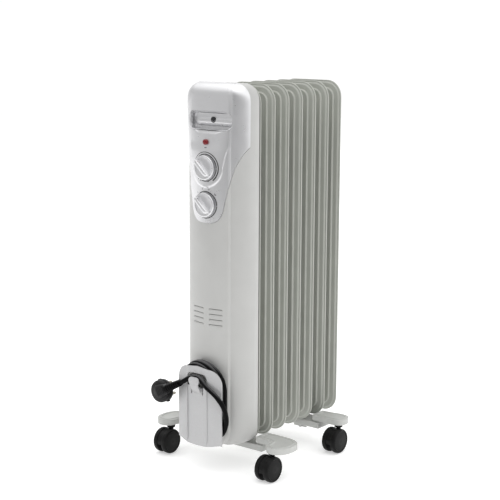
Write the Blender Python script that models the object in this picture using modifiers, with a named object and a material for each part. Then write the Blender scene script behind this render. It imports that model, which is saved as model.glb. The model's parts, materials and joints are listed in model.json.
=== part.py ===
"""Oil filled radiator heater on swivel casters.

The control box faces -Y, +X is its right side and +Z is up. The floor is z = 0 and the origin is
the middle of the object's footprint. All sizes are in metres.
"""

import math

import bmesh
import bpy
from mathutils import Matrix, Vector

# ---- driving dimensions ---------------------------------------------------------------------
GAP = 0.0003  # clearance between pieces that touch

FIN_COUNT = 7
FIN_PITCH = 0.036
FIN_HALF_WIDTH = 0.063
FIN_BOTTOM = 0.0448
FIN_TOP = 0.622
FIN_CORNER = 0.028
FIN_FIRST_Y = -0.068
SEAM_HALF = 0.0012  # half thickness of the two sheets where they are welded at the rim
SEAM_WIDTH = 0.017
PRESSING_HALF = 0.0055  # half thickness of the oil space
SHEET = 0.0009
HEADER_RADIUS = 0.023
HEADER_INSET = 0.052  # header axis above the fin bottom, and below the fin top
CAP_HEIGHT = 0.0040  # how far the last fin's closed headers stand out behind

BOX_HALF_WIDTH = 0.066
BOX_BOTTOM = 0.0450
BOX_TOP = 0.6246
BOX_FRONT_Y = -0.1264
BOX_REAR_Y = -0.0758
FRONT_RADIUS = 0.085  # convex front, in plan
CREASE_X = 0.038
CREASE_Y = -0.1140
TOP_SIDE_RADIUS = 0.028
TOP_FRONT_RADIUS = 0.018
BOTTOM_EDGE_RADIUS = 0.003
COVER_SHEET = 0.0012
HEAD_START_Z = 0.500  # the front leans back from here to the top
HEAD_FLATNESS = 0.25

PANEL_PROUD = 0.0012
PANEL_WALL = 0.0026
PANEL_REAR_Y = -0.0945
POD_RISE = 0.0014
THERMOSTAT_Z = 0.4945
SELECTOR_Z = 0.4360
LAMP_Z = 0.5345
KNOB_RADIUS = 0.0196
KNOB_BASE_Y = -0.1295
KNOB_DISC = 0.0040
GRIP_DEPTH = 0.0085
KNOB_TURN = math.radians(46)
KNOB_BORE_DEPTH = 0.008

RECESS_HALF_WIDTH = 0.0425
RECESS_BOTTOM = 0.5540
RECESS_TOP = 0.5800
RECESS_FLOOR_Y = -0.1040
RECESS_CORNER = 0.011
RECESS_WALL = 0.0018

PLATE_FLAT_X = 0.0205
PLATE_HALF_WIDTH = 0.0456
PLATE_Y = -0.1480
PLATE_SHEET = 0.0016
PLATE_BEND = math.radians(16)
PLATE_BOTTOM = 0.0475
PLATE_TOP = 0.1792
CORD_DIAMETER = 0.0080
WINDING_Z = 0.1215
WINDING_STRAIGHT = 0.0215  # half of the straight side of each turn
WINDING_OUTER = 0.0447
WINDING_INNER = 0.0285

FOOT_TOP = 0.0565
FOOT_UNDER = 0.0471
RAIL_TOP = 0.0443
RAIL_BOTTOM = 0.0335
RAIL_HALF_LENGTH = 0.076
RAIL_WIDTH = 0.034
WHEEL_RADIUS = 0.0208
WHEEL_WIDTH = 0.0092
CASTER_WIDTH = 0.0275
CASTER_X = 0.109
CASTER_TRAIL = 0.0105
FRONT_STEM_Y = -0.0914
REAR_STEM_Y = 0.0906
ROUND_STEPS = 16

# ---- scene and helpers ------------------------------------------------------------------------
for old in list(bpy.data.objects):
    bpy.data.objects.remove(old)

PARTS = bpy.data.collections.new("oil_filled_radiator")
CUTTERS = bpy.data.collections.new("cutters")
bpy.context.scene.collection.children.link(PARTS)
bpy.context.scene.collection.children.link(CUTTERS)


def material(name, colour, roughness, metallic=0.0):
    made = bpy.data.materials.new(name)
    made.use_nodes = True
    shader = made.node_tree.nodes["Principled BSDF"]
    shader.inputs["Base Color"].default_value = (*colour, 1.0)
    shader.inputs["Roughness"].default_value = roughness
    shader.inputs["Metallic"].default_value = metallic
    made.diffuse_color = (*colour, 1.0)
    return made


FIN_PAINT = material("fin_paint", (0.40, 0.41, 0.37), 0.38)
BOX_PAINT = material("box_paint", (0.58, 0.58, 0.56), 0.36)
SILVER = material("silver_plastic", (0.52, 0.52, 0.56), 0.32, 0.35)
FOOT_PAINT = material("foot_paint", (0.55, 0.56, 0.53), 0.45)
BLACK_PLASTIC = material("black_plastic", (0.02, 0.02, 0.02), 0.42)
BLACK_VINYL = material("black_vinyl", (0.012, 0.012, 0.013), 0.5)
RED_LENS = material("red_lens", (0.45, 0.01, 0.02), 0.2)
STEEL = material("steel", (0.55, 0.55, 0.55), 0.3, 1.0)
NICKEL = material("nickel_brass", (0.72, 0.70, 0.64), 0.22, 1.0)
PALE_PLASTIC = material("pale_plastic", (0.75, 0.73, 0.66), 0.5)


def place(name, mesh, look=None, helper=False):
    """A mesh as an object: a part, or a hidden helper that cuts or joins one."""
    made = bpy.data.objects.new(name, mesh)
    (CUTTERS if helper else PARTS).objects.link(made)
    if helper:
        made.hide_render = True
        made.display_type = "WIRE"
    else:
        mesh.materials.clear()
        mesh.materials.append(look)
        mesh.shade_smooth()
        mesh.set_sharp_from_angle(angle=math.radians(35))
    return made


def combine(body, tool, operation):
    step = body.modifiers.new(tool.name, "BOOLEAN")
    step.operation = operation
    step.solver = "EXACT"
    step.object = tool


def realised(made):
    """The evaluated mesh of an object, which is then removed."""
    graph = bpy.context.evaluated_depsgraph_get()
    mesh = bpy.data.meshes.new_from_object(made.evaluated_get(graph))
    mesh.transform(made.matrix_world)
    bm = bmesh.new()
    bm.from_mesh(mesh)
    bmesh.ops.remove_doubles(bm, verts=bm.verts, dist=1e-6)
    bmesh.ops.recalc_face_normals(bm, faces=bm.faces)
    bm.to_mesh(mesh)
    bm.free()
    bpy.data.objects.remove(made)
    return mesh


def settle(made, reach, nudge):
    """Carries out the object's Booleans and welds the near-coincident corners that they leave.

    Each corner then moves by up to nudge, so that no plane cuts a whole row of them at once.
    """
    bpy.context.view_layer.update()
    bm = bmesh.new()
    bm.from_object(made, bpy.context.evaluated_depsgraph_get())
    bmesh.ops.remove_doubles(bm, verts=bm.verts, dist=reach)
    bmesh.ops.dissolve_degenerate(bm, dist=reach / 2, edges=bm.edges)
    bmesh.ops.dissolve_limit(bm, angle_limit=0.002, verts=bm.verts, edges=bm.edges)
    bmesh.ops.triangulate(bm, faces=bm.faces)
    bmesh.ops.dissolve_degenerate(bm, dist=reach / 2, edges=bm.edges)
    for i, corner in enumerate(bm.verts):
        corner.co += Vector((math.sin(3 * i + 1), math.sin(5 * i + 2), math.sin(7 * i + 3))) * nudge
    made.modifiers.clear()
    bm.to_mesh(made.data)
    bm.free()


def prism(outlines, low, high, axis):
    """A flat outline, with holes if there is more than one loop, extruded along an axis.

    The outline is (x, z) along Y, (x, y) along Z and (y, z) along X.
    """
    flat = bpy.data.curves.new("outline", "CURVE")
    flat.dimensions = "2D"
    flat.fill_mode = "BOTH"
    flat.extrude = (high - low) / 2
    for outline in outlines:
        spline = flat.splines.new("POLY")
        spline.points.add(len(outline) - 1)
        for point, (a, b) in zip(spline.points, outline):
            point.co = (a, b, 0, 1)
        spline.use_cyclic_u = True
    made = bpy.data.objects.new("outline", flat)
    CUTTERS.objects.link(made)
    middle = (low + high) / 2
    turn = {
        "X": Matrix(((0, 0, 1, middle), (1, 0, 0, 0), (0, 1, 0, 0), (0, 0, 0, 1))),
        "Y": Matrix(((1, 0, 0, 0), (0, 0, -1, middle), (0, 1, 0, 0), (0, 0, 0, 1))),
        "Z": Matrix.Translation((0, 0, middle)),
    }[axis]
    made.matrix_world = turn
    bpy.context.view_layer.update()
    return realised(made)


def block(low, high, bevel=0.0):
    bm = bmesh.new()
    bmesh.ops.create_cube(bm, size=1.0)
    size = Vector(high) - Vector(low)
    bmesh.ops.scale(bm, vec=size, verts=bm.verts)
    if bevel:
        bmesh.ops.bevel(bm, geom=bm.edges[:], offset=bevel, segments=2, affect="EDGES", profile=0.5)
    bmesh.ops.translate(bm, vec=(Vector(low) + Vector(high)) / 2, verts=bm.verts)
    mesh = bpy.data.meshes.new("block")
    bm.to_mesh(mesh)
    bm.free()
    return mesh


def rod(start, end, radius, steps=ROUND_STEPS):
    start, end = Vector(start), Vector(end)
    bm = bmesh.new()
    length = (end - start).length
    bmesh.ops.create_cone(
        bm, cap_ends=True, segments=steps, radius1=radius, radius2=radius, depth=length
    )
    turn = Vector((0, 0, 1)).rotation_difference(end - start).to_matrix().to_4x4()
    bmesh.ops.transform(bm, matrix=Matrix.Translation((start + end) / 2) @ turn, verts=bm.verts)
    mesh = bpy.data.meshes.new("rod")
    bm.to_mesh(mesh)
    bm.free()
    return mesh


def turned(name, profile, at, towards, look, steps=ROUND_STEPS):
    """A lathe part: (radius, height) pairs from the top down, standing at a point along a direction.

    A profile that ends on its first point is a ring.
    """
    bm = bmesh.new()
    ring = profile[0] == profile[-1]
    verts = [bm.verts.new((r, 0, z)) for r, z in (profile[:-1] if ring else profile)]
    for a, b in zip(verts, verts[1:] + verts[:1] if ring else verts[1:]):
        bm.edges.new((a, b))
    mesh = bpy.data.meshes.new(name)
    bm.to_mesh(mesh)
    bm.free()
    made = place(name, mesh, look)
    screw = made.modifiers.new("turn", "SCREW")
    screw.steps = steps
    screw.render_steps = steps
    screw.use_merge_vertices = True
    screw.merge_threshold = 1e-5
    turn = Vector((0, 0, 1)).rotation_difference(Vector(towards)).to_matrix().to_4x4()
    made.matrix_world = Matrix.Translation(at) @ turn
    return made


def tube(name, points, radius, look, resolution=2, cyclic=False):
    path = bpy.data.curves.new(name, "CURVE")
    path.dimensions = "3D"
    path.bevel_depth = radius
    path.bevel_resolution = resolution
    path.use_fill_caps = True
    spline = path.splines.new("POLY")
    spline.points.add(len(points) - 1)
    for point, co in zip(spline.points, points):
        point.co = (*co, 1)
    spline.use_cyclic_u = cyclic
    made = bpy.data.objects.new(name, path)
    CUTTERS.objects.link(made)
    bpy.context.view_layer.update()
    mesh = realised(made)
    mesh.name = name
    return place(name, mesh, look)


def arc(centre, radius, first, last, steps):
    """Points on an arc, with its angles in degrees."""
    points = []
    for i in range(steps + 1):
        angle = math.radians(first + (last - first) * i / steps)
        points.append((centre[0] + radius * math.cos(angle), centre[1] + radius * math.sin(angle)))
    return points


def rounded(low, high, radius, steps=4):
    """A rectangle with round corners."""
    (x0, y0), (x1, y1) = low, high
    corners = (
        ((x1 - radius, y0 + radius), -90),
        ((x1 - radius, y1 - radius), 0),
        ((x0 + radius, y1 - radius), 90),
        ((x0 + radius, y0 + radius), 180),
    )
    return [p for centre, first in corners for p in arc(centre, radius, first, first + 90, steps)]


def stadium(half_straight, radius, middle, steps=10):
    """A vertical oval of two half circles and two straight sides, as (x, z)."""
    top = arc((0, middle + half_straight), radius, 0, 180, steps)
    return top + arc((0, middle - half_straight), radius, 180, 360, steps)


def smooth_path(points, per_span):
    """A Catmull-Rom curve through the points."""
    points = [Vector(p) for p in points]
    ends = [2 * points[0] - points[1]] + points + [2 * points[-1] - points[-2]]
    made = []
    for a, b, c, d in zip(ends, ends[1:], ends[2:], ends[3:]):
        for i in range(per_span):
            t = i / per_span
            made.append(
                0.5 * (2 * b + (c - a) * t + (2 * a - 5 * b + 4 * c - d) * t**2
                       + (3 * b - a - 3 * c + d) * t**3)
            )
    return made + [points[-1]]


def mirrored(half):
    """A whole outline from its right half, which starts and ends near x = 0."""
    left = [(-x, z) for x, z in reversed(half) if x > 1e-6]
    return list(half) + left


# ---- radiator -----------------------------------------------------------------------------------
LOW_HEADER = FIN_BOTTOM + HEADER_INSET
HIGH_HEADER = FIN_TOP - HEADER_INSET
HEADER_BORE = HEADER_RADIUS - SHEET
FIRST_HEADER_FACE = FIN_FIRST_Y - FIN_PITCH / 2


def fin_outline(inset):
    low = (-FIN_HALF_WIDTH + inset, FIN_BOTTOM + inset)
    high = (FIN_HALF_WIDTH - inset, FIN_TOP - inset)
    return rounded(low, high, FIN_CORNER - 0.5 * inset)


def fin_mesh(closed_rear):
    """One fin about y = 0: a welded rim, a pressed oil space and a header boss at each end."""
    body = place("fin", prism([fin_outline(0)], -SEAM_HALF, SEAM_HALF, "Y"), FIN_PAINT)
    reach = (FIN_PITCH - GAP) / 2
    rear = PRESSING_HALF + CAP_HEIGHT if closed_rear else reach
    pressing = prism([fin_outline(SEAM_WIDTH)], -PRESSING_HALF, PRESSING_HALF, "Y")
    pieces = [(pressing, "UNION")]
    for z in (LOW_HEADER, HIGH_HEADER):
        pieces.append((rod((0, -reach, z), (0, rear, z), HEADER_RADIUS, 14), "UNION"))
    inside = PRESSING_HALF - SHEET
    cavity = prism([fin_outline(SEAM_WIDTH + SHEET)], -inside, inside, "Y")
    pieces.append((cavity, "DIFFERENCE"))
    rear_bore = rear - SHEET if closed_rear else reach + 0.001
    for z in (LOW_HEADER, HIGH_HEADER):
        bore = rod((0, -reach - 0.001, z), (0, rear_bore, z), HEADER_BORE, 14)
        pieces.append((bore, "DIFFERENCE"))
    for i, (mesh, operation) in enumerate(pieces):
        combine(body, place(f"fin_tool_{i}", mesh, helper=True), operation)
    bpy.context.view_layer.update()
    return realised(body)


def make_fins():
    shared = fin_mesh(closed_rear=False)
    last = fin_mesh(closed_rear=True)
    for i in range(FIN_COUNT):
        mesh = last if i == FIN_COUNT - 1 else shared
        fin = place(f"fin_{i + 1}", mesh, FIN_PAINT)
        fin.location.y = FIN_FIRST_Y + i * FIN_PITCH


ELEMENT_RADIUS = 0.0042
ELEMENT_LEG = 0.008  # half the distance between the two legs of an element
ELEMENT_REACH = 5  # pitches from the first fin to the bend of an element
FLANGE_RADIUS = 0.0235
FLANGE_THICKNESS = 0.003
BOSS_HEIGHT = 0.004


def make_header_fittings():
    face = FIRST_HEADER_FACE - GAP / 2
    profile = [
        (0, FLANGE_THICKNESS + BOSS_HEIGHT),
        (0.012, FLANGE_THICKNESS + BOSS_HEIGHT),
        (0.012, FLANGE_THICKNESS),
        (FLANGE_RADIUS, FLANGE_THICKNESS),
        (FLANGE_RADIUS, 0),
        (0, 0),
    ]
    turned("element_flange", profile, (0, face, LOW_HEADER), (0, -1, 0), STEEL)
    turned("oil_filler_plug", profile, (0, face, HIGH_HEADER), (0, -1, 0), STEEL)
    far = FIN_FIRST_Y + ELEMENT_REACH * FIN_PITCH
    near = face + GAP
    for i, x in enumerate((-0.010, 0.010)):
        bend = arc((far, LOW_HEADER), ELEMENT_LEG, -90, 90, 6)
        points = [(x, near, LOW_HEADER - ELEMENT_LEG)] + [(x, y, z) for y, z in bend]
        points.append((x, near, LOW_HEADER + ELEMENT_LEG))
        tube(f"heating_element_{i + 1}", points, ELEMENT_RADIUS, STEEL)


# ---- control box -----------------------------------------------------------------------------------
def plan_outline(lean):
    """Right half of the box in plan, from the middle of the front to the rear edge.

    lean scales how far the convex front stands out from the creases.
    """
    centre_y = BOX_FRONT_Y + FRONT_RADIUS
    points = []
    for i in range(5):
        x = CREASE_X * i / 4
        y = centre_y - math.sqrt(FRONT_RADIUS**2 - x**2)
        points.append((x, CREASE_Y + (y - CREASE_Y) * lean))
    start, pull, push, end = (0.0405, CREASE_Y), (0.052, -0.1092), (0.064, -0.0965), (0.066, -0.084)
    for i in range(5):
        t = i / 4
        weights = ((1 - t) ** 3, 3 * t * (1 - t) ** 2, 3 * t * t * (1 - t), t**3)
        x, y = (sum(w * p[k] for w, p in zip(weights, (start, pull, push, end))) for k in (0, 1))
        points.append((x, y))
    return points


def inset_at(height, edge, radius):
    """How far a round edge has turned in at a height within its radius."""
    above = min(max(height - (edge - radius), 0), radius)
    return radius - math.sqrt(radius**2 - above**2)


def box_ring(z, grow, rear):
    """The box's outline at a height, grown outwards, as (x, y) from the right rear to the left."""
    t = min(max((z - HEAD_START_Z) / (BOX_TOP - HEAD_START_Z), 0), 1)
    half = plan_outline(1 - (1 - HEAD_FLATNESS) * t * t * (3 - 2 * t))
    half.append((BOX_HALF_WIDTH, rear))
    side = inset_at(z, BOX_TOP + grow, TOP_SIDE_RADIUS + grow)
    side += inset_at(-z, -BOX_BOTTOM + grow, TOP_SIDE_RADIUS + grow)
    front = inset_at(z, BOX_TOP + grow, TOP_FRONT_RADIUS + grow)
    front += inset_at(-z, -BOX_BOTTOM + grow, BOTTOM_EDGE_RADIUS + max(grow, 0))
    ring = []
    for i, (x, y) in enumerate(half):
        before = half[i - 1] if i else (-half[1][0], half[1][1])
        after = half[min(i + 1, len(half) - 1)]
        along = Vector((after[0] - before[0], after[1] - before[1])).normalized()
        out = Vector((-along.y, along.x)) * -1
        if i == len(half) - 1:
            out = Vector((1, 0))
        ring.append((x + out.x * (grow - side), y + out.y * (grow - front)))
    return [(x, y) for x, y in reversed(ring)] + [(-x, y) for x, y in ring[1:]]


def box_solid(grow, rear):
    """A loft through the box's outlines."""
    low, high = BOX_BOTTOM - grow, BOX_TOP + grow
    radius = TOP_SIDE_RADIUS + grow
    levels = [low + radius * (1 - math.cos(math.radians(a))) for a in (0, 25, 50, 90)]
    levels += [low + BOTTOM_EDGE_RADIUS, HEAD_START_Z, 0.550]
    levels += [high - radius + radius * math.sin(math.radians(a)) for a in (0, 30, 52, 72, 90)]
    bm = bmesh.new()
    rings = []
    for z in sorted(levels):
        rings.append([bm.verts.new((x, y, z)) for x, y in box_ring(z, grow, rear)])
    count = len(rings[0])
    for below, above in zip(rings, rings[1:]):
        for i in range(count):
            j = (i + 1) % count
            bm.faces.new((below[i], below[j], above[j], above[i]))
    bm.faces.new(rings[0])
    bm.faces.new(rings[-1])
    bmesh.ops.recalc_face_normals(bm, faces=bm.faces)
    if bm.calc_volume(signed=True) < 0:
        bmesh.ops.reverse_faces(bm, faces=bm.faces)
    mesh = bpy.data.meshes.new("box_solid")
    bm.to_mesh(mesh)
    bm.free()
    return mesh


def panel_outline(margin):
    """Right half of the control panel's edge in front view, closed over the top."""
    keys = [
        (0, 0.4072), (0.0130, 0.4082), (0.0235, 0.4140), (0.0300, 0.4260), (0.0335, 0.4430),
        (0.0376, 0.4612), (0.0415, 0.4790), (0.0468, 0.4960), (0.0540, 0.5120), (0.0610, 0.5250),
        (0.0700, 0.5400),
    ]
    curve = [(p.x, p.y) for p in smooth_path([(x, z, 0) for x, z in keys], 2)]
    grown = []
    for i, (x, z) in enumerate(curve):
        a, b = curve[max(i - 1, 0)], curve[min(i + 1, len(curve) - 1)]
        along = Vector((b[0] - a[0], b[1] - a[1])).normalized()
        grown.append((x + along.y * margin if i else 0, z - along.x * margin))
    top = 0.66
    return mirrored(grown + [(0.09, curve[-1][1] - margin), (0.09, top), (0, top)])


def pod_outline():
    """Right half of the raised pod: round below the thermostat, flaring to the recess."""
    below = arc((0, THERMOSTAT_Z), 0.0305, -90, 0, 8)
    return mirrored(below + [(0.0340, 0.512), (0.0392, 0.532), (0.0405, 0.5455), (0, 0.5455)])


VENT_ROWS = 4
VENT_LOW_Z = 0.2430
VENT_PITCH = 0.0085
VENT_HALF = 0.0016
VENT_INNER_X = 0.0055
VENT_OUTER_X = 0.0296


def make_cover():
    cover = place("front_cover", box_solid(0, BOX_REAR_Y), BOX_PAINT)
    tools = [box_solid(-COVER_SHEET, BOX_REAR_Y + 0.02)]
    tools.append(prism([panel_outline(GAP)], -0.2, PANEL_REAR_Y + GAP, "Y"))
    slots = []
    for side in (-1, 1):
        for row in range(VENT_ROWS):
            z = VENT_LOW_Z + VENT_PITCH * row
            low, high = sorted((side * VENT_INNER_X, side * VENT_OUTER_X))
            slots.append(rounded((low, z - VENT_HALF), (high, z + VENT_HALF), VENT_HALF - 0.0001, 2))
    tools.append(prism(slots, -0.135, -0.105, "Y"))
    outlet = (GLAND_X - 0.0008, -0.105, GLAND_TOP - 0.0105)
    tools.append(rod((outlet[0], -0.130, outlet[2]), outlet, CORD_DIAMETER / 2 + 0.0002, 12))
    for i, mesh in enumerate(tools):
        combine(cover, place(f"cover_tool_{i}", mesh, helper=True), "DIFFERENCE")


def knob_stations():
    return (("thermostat", THERMOSTAT_Z), ("selector", SELECTOR_Z))


def recess_outline(margin):
    half = RECESS_HALF_WIDTH + margin
    return rounded((-half, RECESS_BOTTOM - margin), (half, RECESS_TOP + margin),
                   RECESS_CORNER + margin * 0.8)


def make_panel():
    panel = place("control_panel", box_solid(PANEL_PROUD, BOX_REAR_Y), SILVER)
    pod = place("pod_tool", box_solid(PANEL_PROUD + POD_RISE, BOX_REAR_Y), helper=True)
    pod_reach = place("pod_reach", prism([pod_outline()], -0.2, -0.1, "Y"), helper=True)
    combine(pod, pod_reach, "INTERSECT")
    combine(panel, pod, "UNION")
    hollow = box_solid(PANEL_PROUD - PANEL_WALL, BOX_REAR_Y + 0.02)
    combine(panel, place("panel_hollow", hollow, helper=True), "DIFFERENCE")
    reach = prism([panel_outline(0)], -0.2, PANEL_REAR_Y, "Y")
    combine(panel, place("panel_reach", reach, helper=True), "INTERSECT")
    window = prism([recess_outline(RECESS_WALL + GAP)], -0.2, -0.05, "Y")
    combine(panel, place("recess_window", window, helper=True), "DIFFERENCE")
    for name, z in knob_stations():
        hole = rod((0, -0.14, z), (0, -0.11, z), 0.0045, 16)
        combine(panel, place(f"{name}_hole", hole, helper=True), "DIFFERENCE")
    lamp_hole = rod((0, -0.14, LAMP_Z), (0, -0.11, LAMP_Z), 0.0053, 16)
    combine(panel, place("lamp_hole", lamp_hole, helper=True), "DIFFERENCE")
    settle(panel, 0.0002, 5e-6)


GRIP_SCREW_Z = 0.568
GRIP_SEAT_Y = -0.1070  # where the screw's head sits in the insert
SCREW_LENGTH = 0.0125


def make_grip():
    """The tray in the panel's window, with a hump whose underside curves back, and its screw."""
    grip = place("grip_insert", box_solid(PANEL_PROUD, BOX_REAR_Y), SILVER)
    floor = RECESS_FLOOR_Y
    reach = prism([recess_outline(RECESS_WALL)], -0.2, floor + RECESS_WALL, "Y")
    combine(grip, place("tray_reach", reach, helper=True), "INTERSECT")
    inner = prism([recess_outline(0)], -0.2, floor, "Y")
    combine(grip, place("tray_inner", inner, helper=True), "DIFFERENCE")
    section = [(floor + 0.001, 0.5785), (floor - 0.0035, 0.5778)]
    section += [(y, z) for y, z in arc((floor + 0.006, 0.5655), 0.0105, 150, 215, 6)]
    section.append((floor + 0.001, 0.5575))
    half = RECESS_HALF_WIDTH - 0.003
    hump = place("hump", prism([section], -half, half, "X"), helper=True)
    ends = prism([rounded((-half, 0.5565), (half, 0.5780), 0.0090)], -0.15, -0.09, "Y")
    combine(hump, place("hump_ends", ends, helper=True), "INTERSECT")
    combine(grip, hump, "UNION")
    front = (0, -0.125, GRIP_SCREW_Z)
    hole = rod(front, (0, -0.09, GRIP_SCREW_Z), 0.0030, 12)
    combine(grip, place("grip_hole", hole, helper=True), "DIFFERENCE")
    seat = rod(front, (0, GRIP_SEAT_Y, GRIP_SCREW_Z), 0.0048, 16)
    combine(grip, place("grip_counterbore", seat, helper=True), "DIFFERENCE")
    profile = [(0, 0.0016), (0.0032, 0.0012), (0.0042, 0), (0.0022, 0), (0.0022, -SCREW_LENGTH),
               (0, -SCREW_LENGTH)]
    turned("grip_screw", profile, (0, GRIP_SEAT_Y - GAP, GRIP_SCREW_Z), (0, -1, 0), STEEL, 14)


SHAFT_RADIUS = 0.0030


def knob(name, z):
    """A disc with a bar grip, seen from the front pointing up and to the left, and a blind bore."""
    disc = KNOB_DISC
    profile = [
        (0, disc), (KNOB_RADIUS - 0.002, disc), (KNOB_RADIUS, disc - 0.0018), (KNOB_RADIUS, 0),
        (0, 0),
    ]
    made = turned(f"{name}_knob", profile, (0, KNOB_BASE_Y, z), (0, -1, 0), SILVER, 24)
    grip = rounded((-0.0042, -KNOB_RADIUS + 0.002), (0.0042, KNOB_RADIUS - 0.002), 0.0038, 3)
    turn = Matrix.Rotation(KNOB_TURN, 4, "Y")
    mesh = prism([grip], KNOB_BASE_Y - disc - GRIP_DEPTH, KNOB_BASE_Y - disc + 0.001, "Y")
    mesh.transform(Matrix.Translation((0, 0, z)) @ turn.inverted())
    combine(made, place(f"{name}_grip", mesh, helper=True), "UNION")
    deep = (0, KNOB_BASE_Y - KNOB_BORE_DEPTH, z)
    bore = rod(deep, (0, KNOB_BASE_Y + 0.001, z), SHAFT_RADIUS + GAP, 14)
    combine(made, place(f"{name}_bore", bore, helper=True), "DIFFERENCE")


SWITCH_FRONT_Y = -0.1215
SWITCH_REAR_Y = -0.0915


def make_controls():
    for name, z in knob_stations():
        knob(name, z)
        start = (0, KNOB_BASE_Y - KNOB_BORE_DEPTH + 0.0005, z)
        end = (0, SWITCH_FRONT_Y + 0.008, z)
        place(f"{name}_shaft", rod(start, end, SHAFT_RADIUS, 14), STEEL)
        body = f"{name}_body" if name == "thermostat" else f"{name}_switch"
        low = (-0.016, SWITCH_FRONT_Y, z - 0.014)
        housing = place(body, block(low, (0.016, SWITCH_REAR_Y, z + 0.014), 0.0015), PALE_PLASTIC)
        bush = rod((0, SWITCH_FRONT_Y - 0.001, z), (0, SWITCH_FRONT_Y + 0.0085, z),
                   SHAFT_RADIUS + GAP, 14)
        combine(housing, place(f"{name}_bush", bush, helper=True), "DIFFERENCE")
    front = -0.1290 - GAP
    dome = [(0, 0.0030), (0.0035, 0.0026), (0.0058, 0.0014), (0.0064, 0), (0.0050, 0),
            (0.0050, -0.0060), (0, -0.0060)]
    turned("lamp_lens", dome, (0, front, LAMP_Z), (0, -1, 0), RED_LENS, 20)
    holder = [(0, -0.0063), (0.0050, -0.0063), (0.0050, -0.020), (0, -0.020)]
    turned("lamp_holder", holder, (0, front, LAMP_Z), (0, -1, 0), PALE_PLASTIC, 14)


BACK_PLATE_Y = FIRST_HEADER_FACE - 0.0024
BACK_PLATE_SHEET = 0.0012
CUTOUT_Z = 0.300
TILT_SWITCH_Z = 0.205


def make_box_inside():
    low = (-0.058, BOX_BOTTOM + 0.022)
    high = (0.058, BOX_TOP - 0.025)
    holes = [arc((0, z), FLANGE_RADIUS + 0.001, 0, 342, 19) for z in (LOW_HEADER, HIGH_HEADER)]
    outlines = [rounded(low, high, 0.012, 3), *holes]
    plate = prism(outlines, BACK_PLATE_Y, BACK_PLATE_Y + BACK_PLATE_SHEET, "Y")
    place("back_plate", plate, STEEL)
    front = BACK_PLATE_Y - GAP
    profile = [(0, 0.010), (0.0085, 0.010), (0.0085, 0.0015), (0.012, 0.0015), (0.012, 0), (0, 0)]
    turned("thermal_cutout", profile, (0, front, CUTOUT_Z), (0, -1, 0), PALE_PLASTIC, 16)
    low, high = (-0.012, front - 0.014, TILT_SWITCH_Z), (0.012, front, TILT_SWITCH_Z + 0.025)
    place("tilt_switch", block(low, high, 0.0015), BLACK_PLASTIC)


# ---- cord winder, cord and plug -------------------------------------------------------------------
def bent_slab(near, far, low, high, reach):
    """A slab that follows the bent plate, between two offsets from its middle line."""
    slope = math.tan(PLATE_BEND)

    def line(offset):
        y = PLATE_Y + offset
        end = y + (reach - PLATE_FLAT_X) * slope
        return [(-reach, end), (-PLATE_FLAT_X, y), (PLATE_FLAT_X, y), (reach, end)]

    return prism([line(near) + line(far)[::-1]], low, high, "Z")


def plate_face():
    """The winder plate's outline in front view, with its window and the slots beside the hook."""
    bottom = [(-PLATE_HALF_WIDTH, PLATE_BOTTOM + 0.005)]
    bottom += arc((0, PLATE_BOTTOM + 0.16), 0.16, 254.5, 285.5, 6)
    bottom.append((PLATE_HALF_WIDTH, PLATE_BOTTOM + 0.005))
    corner = 0.024
    right = arc((PLATE_HALF_WIDTH - corner, PLATE_TOP - 0.003 - corner), corner, 0, 78, 6)
    left = [(-x, z) for x, z in reversed(right)]
    return bottom + right + [(0, PLATE_TOP)] + left


DRUM_WALL = 0.0020
HOOK_HALF = 0.0105
HOOK_ROOT_Z = 0.1325
PAD_Y = -0.1575
PAD_LOW = 0.1490
PAD_HIGH = 0.1625


def make_winder():
    half = PLATE_SHEET / 2
    plate = place("winder_plate", bent_slab(-half, half, 0.03, 0.20, 0.06), SILVER)
    face = prism([plate_face()], -0.2, -0.1, "Y")
    combine(plate, place("plate_face", face, helper=True), "INTERSECT")
    slot = 0.0018
    window = [(-HOOK_HALF - slot, HOOK_ROOT_Z), (-HOOK_HALF, HOOK_ROOT_Z), (-HOOK_HALF, 0.1440),
              (HOOK_HALF, 0.1440), (HOOK_HALF, HOOK_ROOT_Z), (HOOK_HALF + slot, HOOK_ROOT_Z),
              (HOOK_HALF + slot, 0.1455), (0.0205, 0.1455)]
    window += arc((0.0125, 0.1592), 0.0080, 0, 90, 4)
    window += arc((-0.0125, 0.1592), 0.0080, 90, 180, 4)
    window += [(-0.0205, 0.1455), (-HOOK_HALF - slot, 0.1455)]
    opening = prism([window], -0.2, -0.1, "Y")
    combine(plate, place("plate_window", opening, helper=True), "DIFFERENCE")
    back = PLATE_Y - half
    rise = [(back + 0.001, 0.1385), (back - 0.0002, 0.1345), (PAD_Y + 0.0004, PAD_LOW - 0.001),
            (PAD_Y + 0.0004, PAD_HIGH - 0.003), (PAD_Y + 0.0018, PAD_HIGH - 0.003),
            (PAD_Y + 0.0018, PAD_LOW), (back + 0.0012, 0.1425)]
    tongue = prism([rise], -0.0085, 0.0085, "X")
    combine(plate, place("hook_tongue", tongue, helper=True), "UNION")
    pad = prism([rounded((-HOOK_HALF, PAD_LOW), (HOOK_HALF, PAD_HIGH), 0.0060, 4)],
                PAD_Y, PAD_Y + 0.0022, "Y")
    combine(plate, place("hook_pad", pad, helper=True), "UNION")

    outer = WINDING_INNER - GAP
    ring = [stadium(WINDING_STRAIGHT, radius, WINDING_Z) for radius in (outer, outer - DRUM_WALL)]
    drum = place("winder_drum", prism(ring, -0.15, -0.1, "Y"), BOX_PAINT)
    between = bent_slab(half + GAP, 0.045, 0.05, 0.19, 0.06)
    combine(drum, place("drum_length", between, helper=True), "INTERSECT")
    cover = box_solid(GAP, BOX_REAR_Y)
    combine(drum, place("drum_cover_tool", cover, helper=True), "DIFFERENCE")


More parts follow.
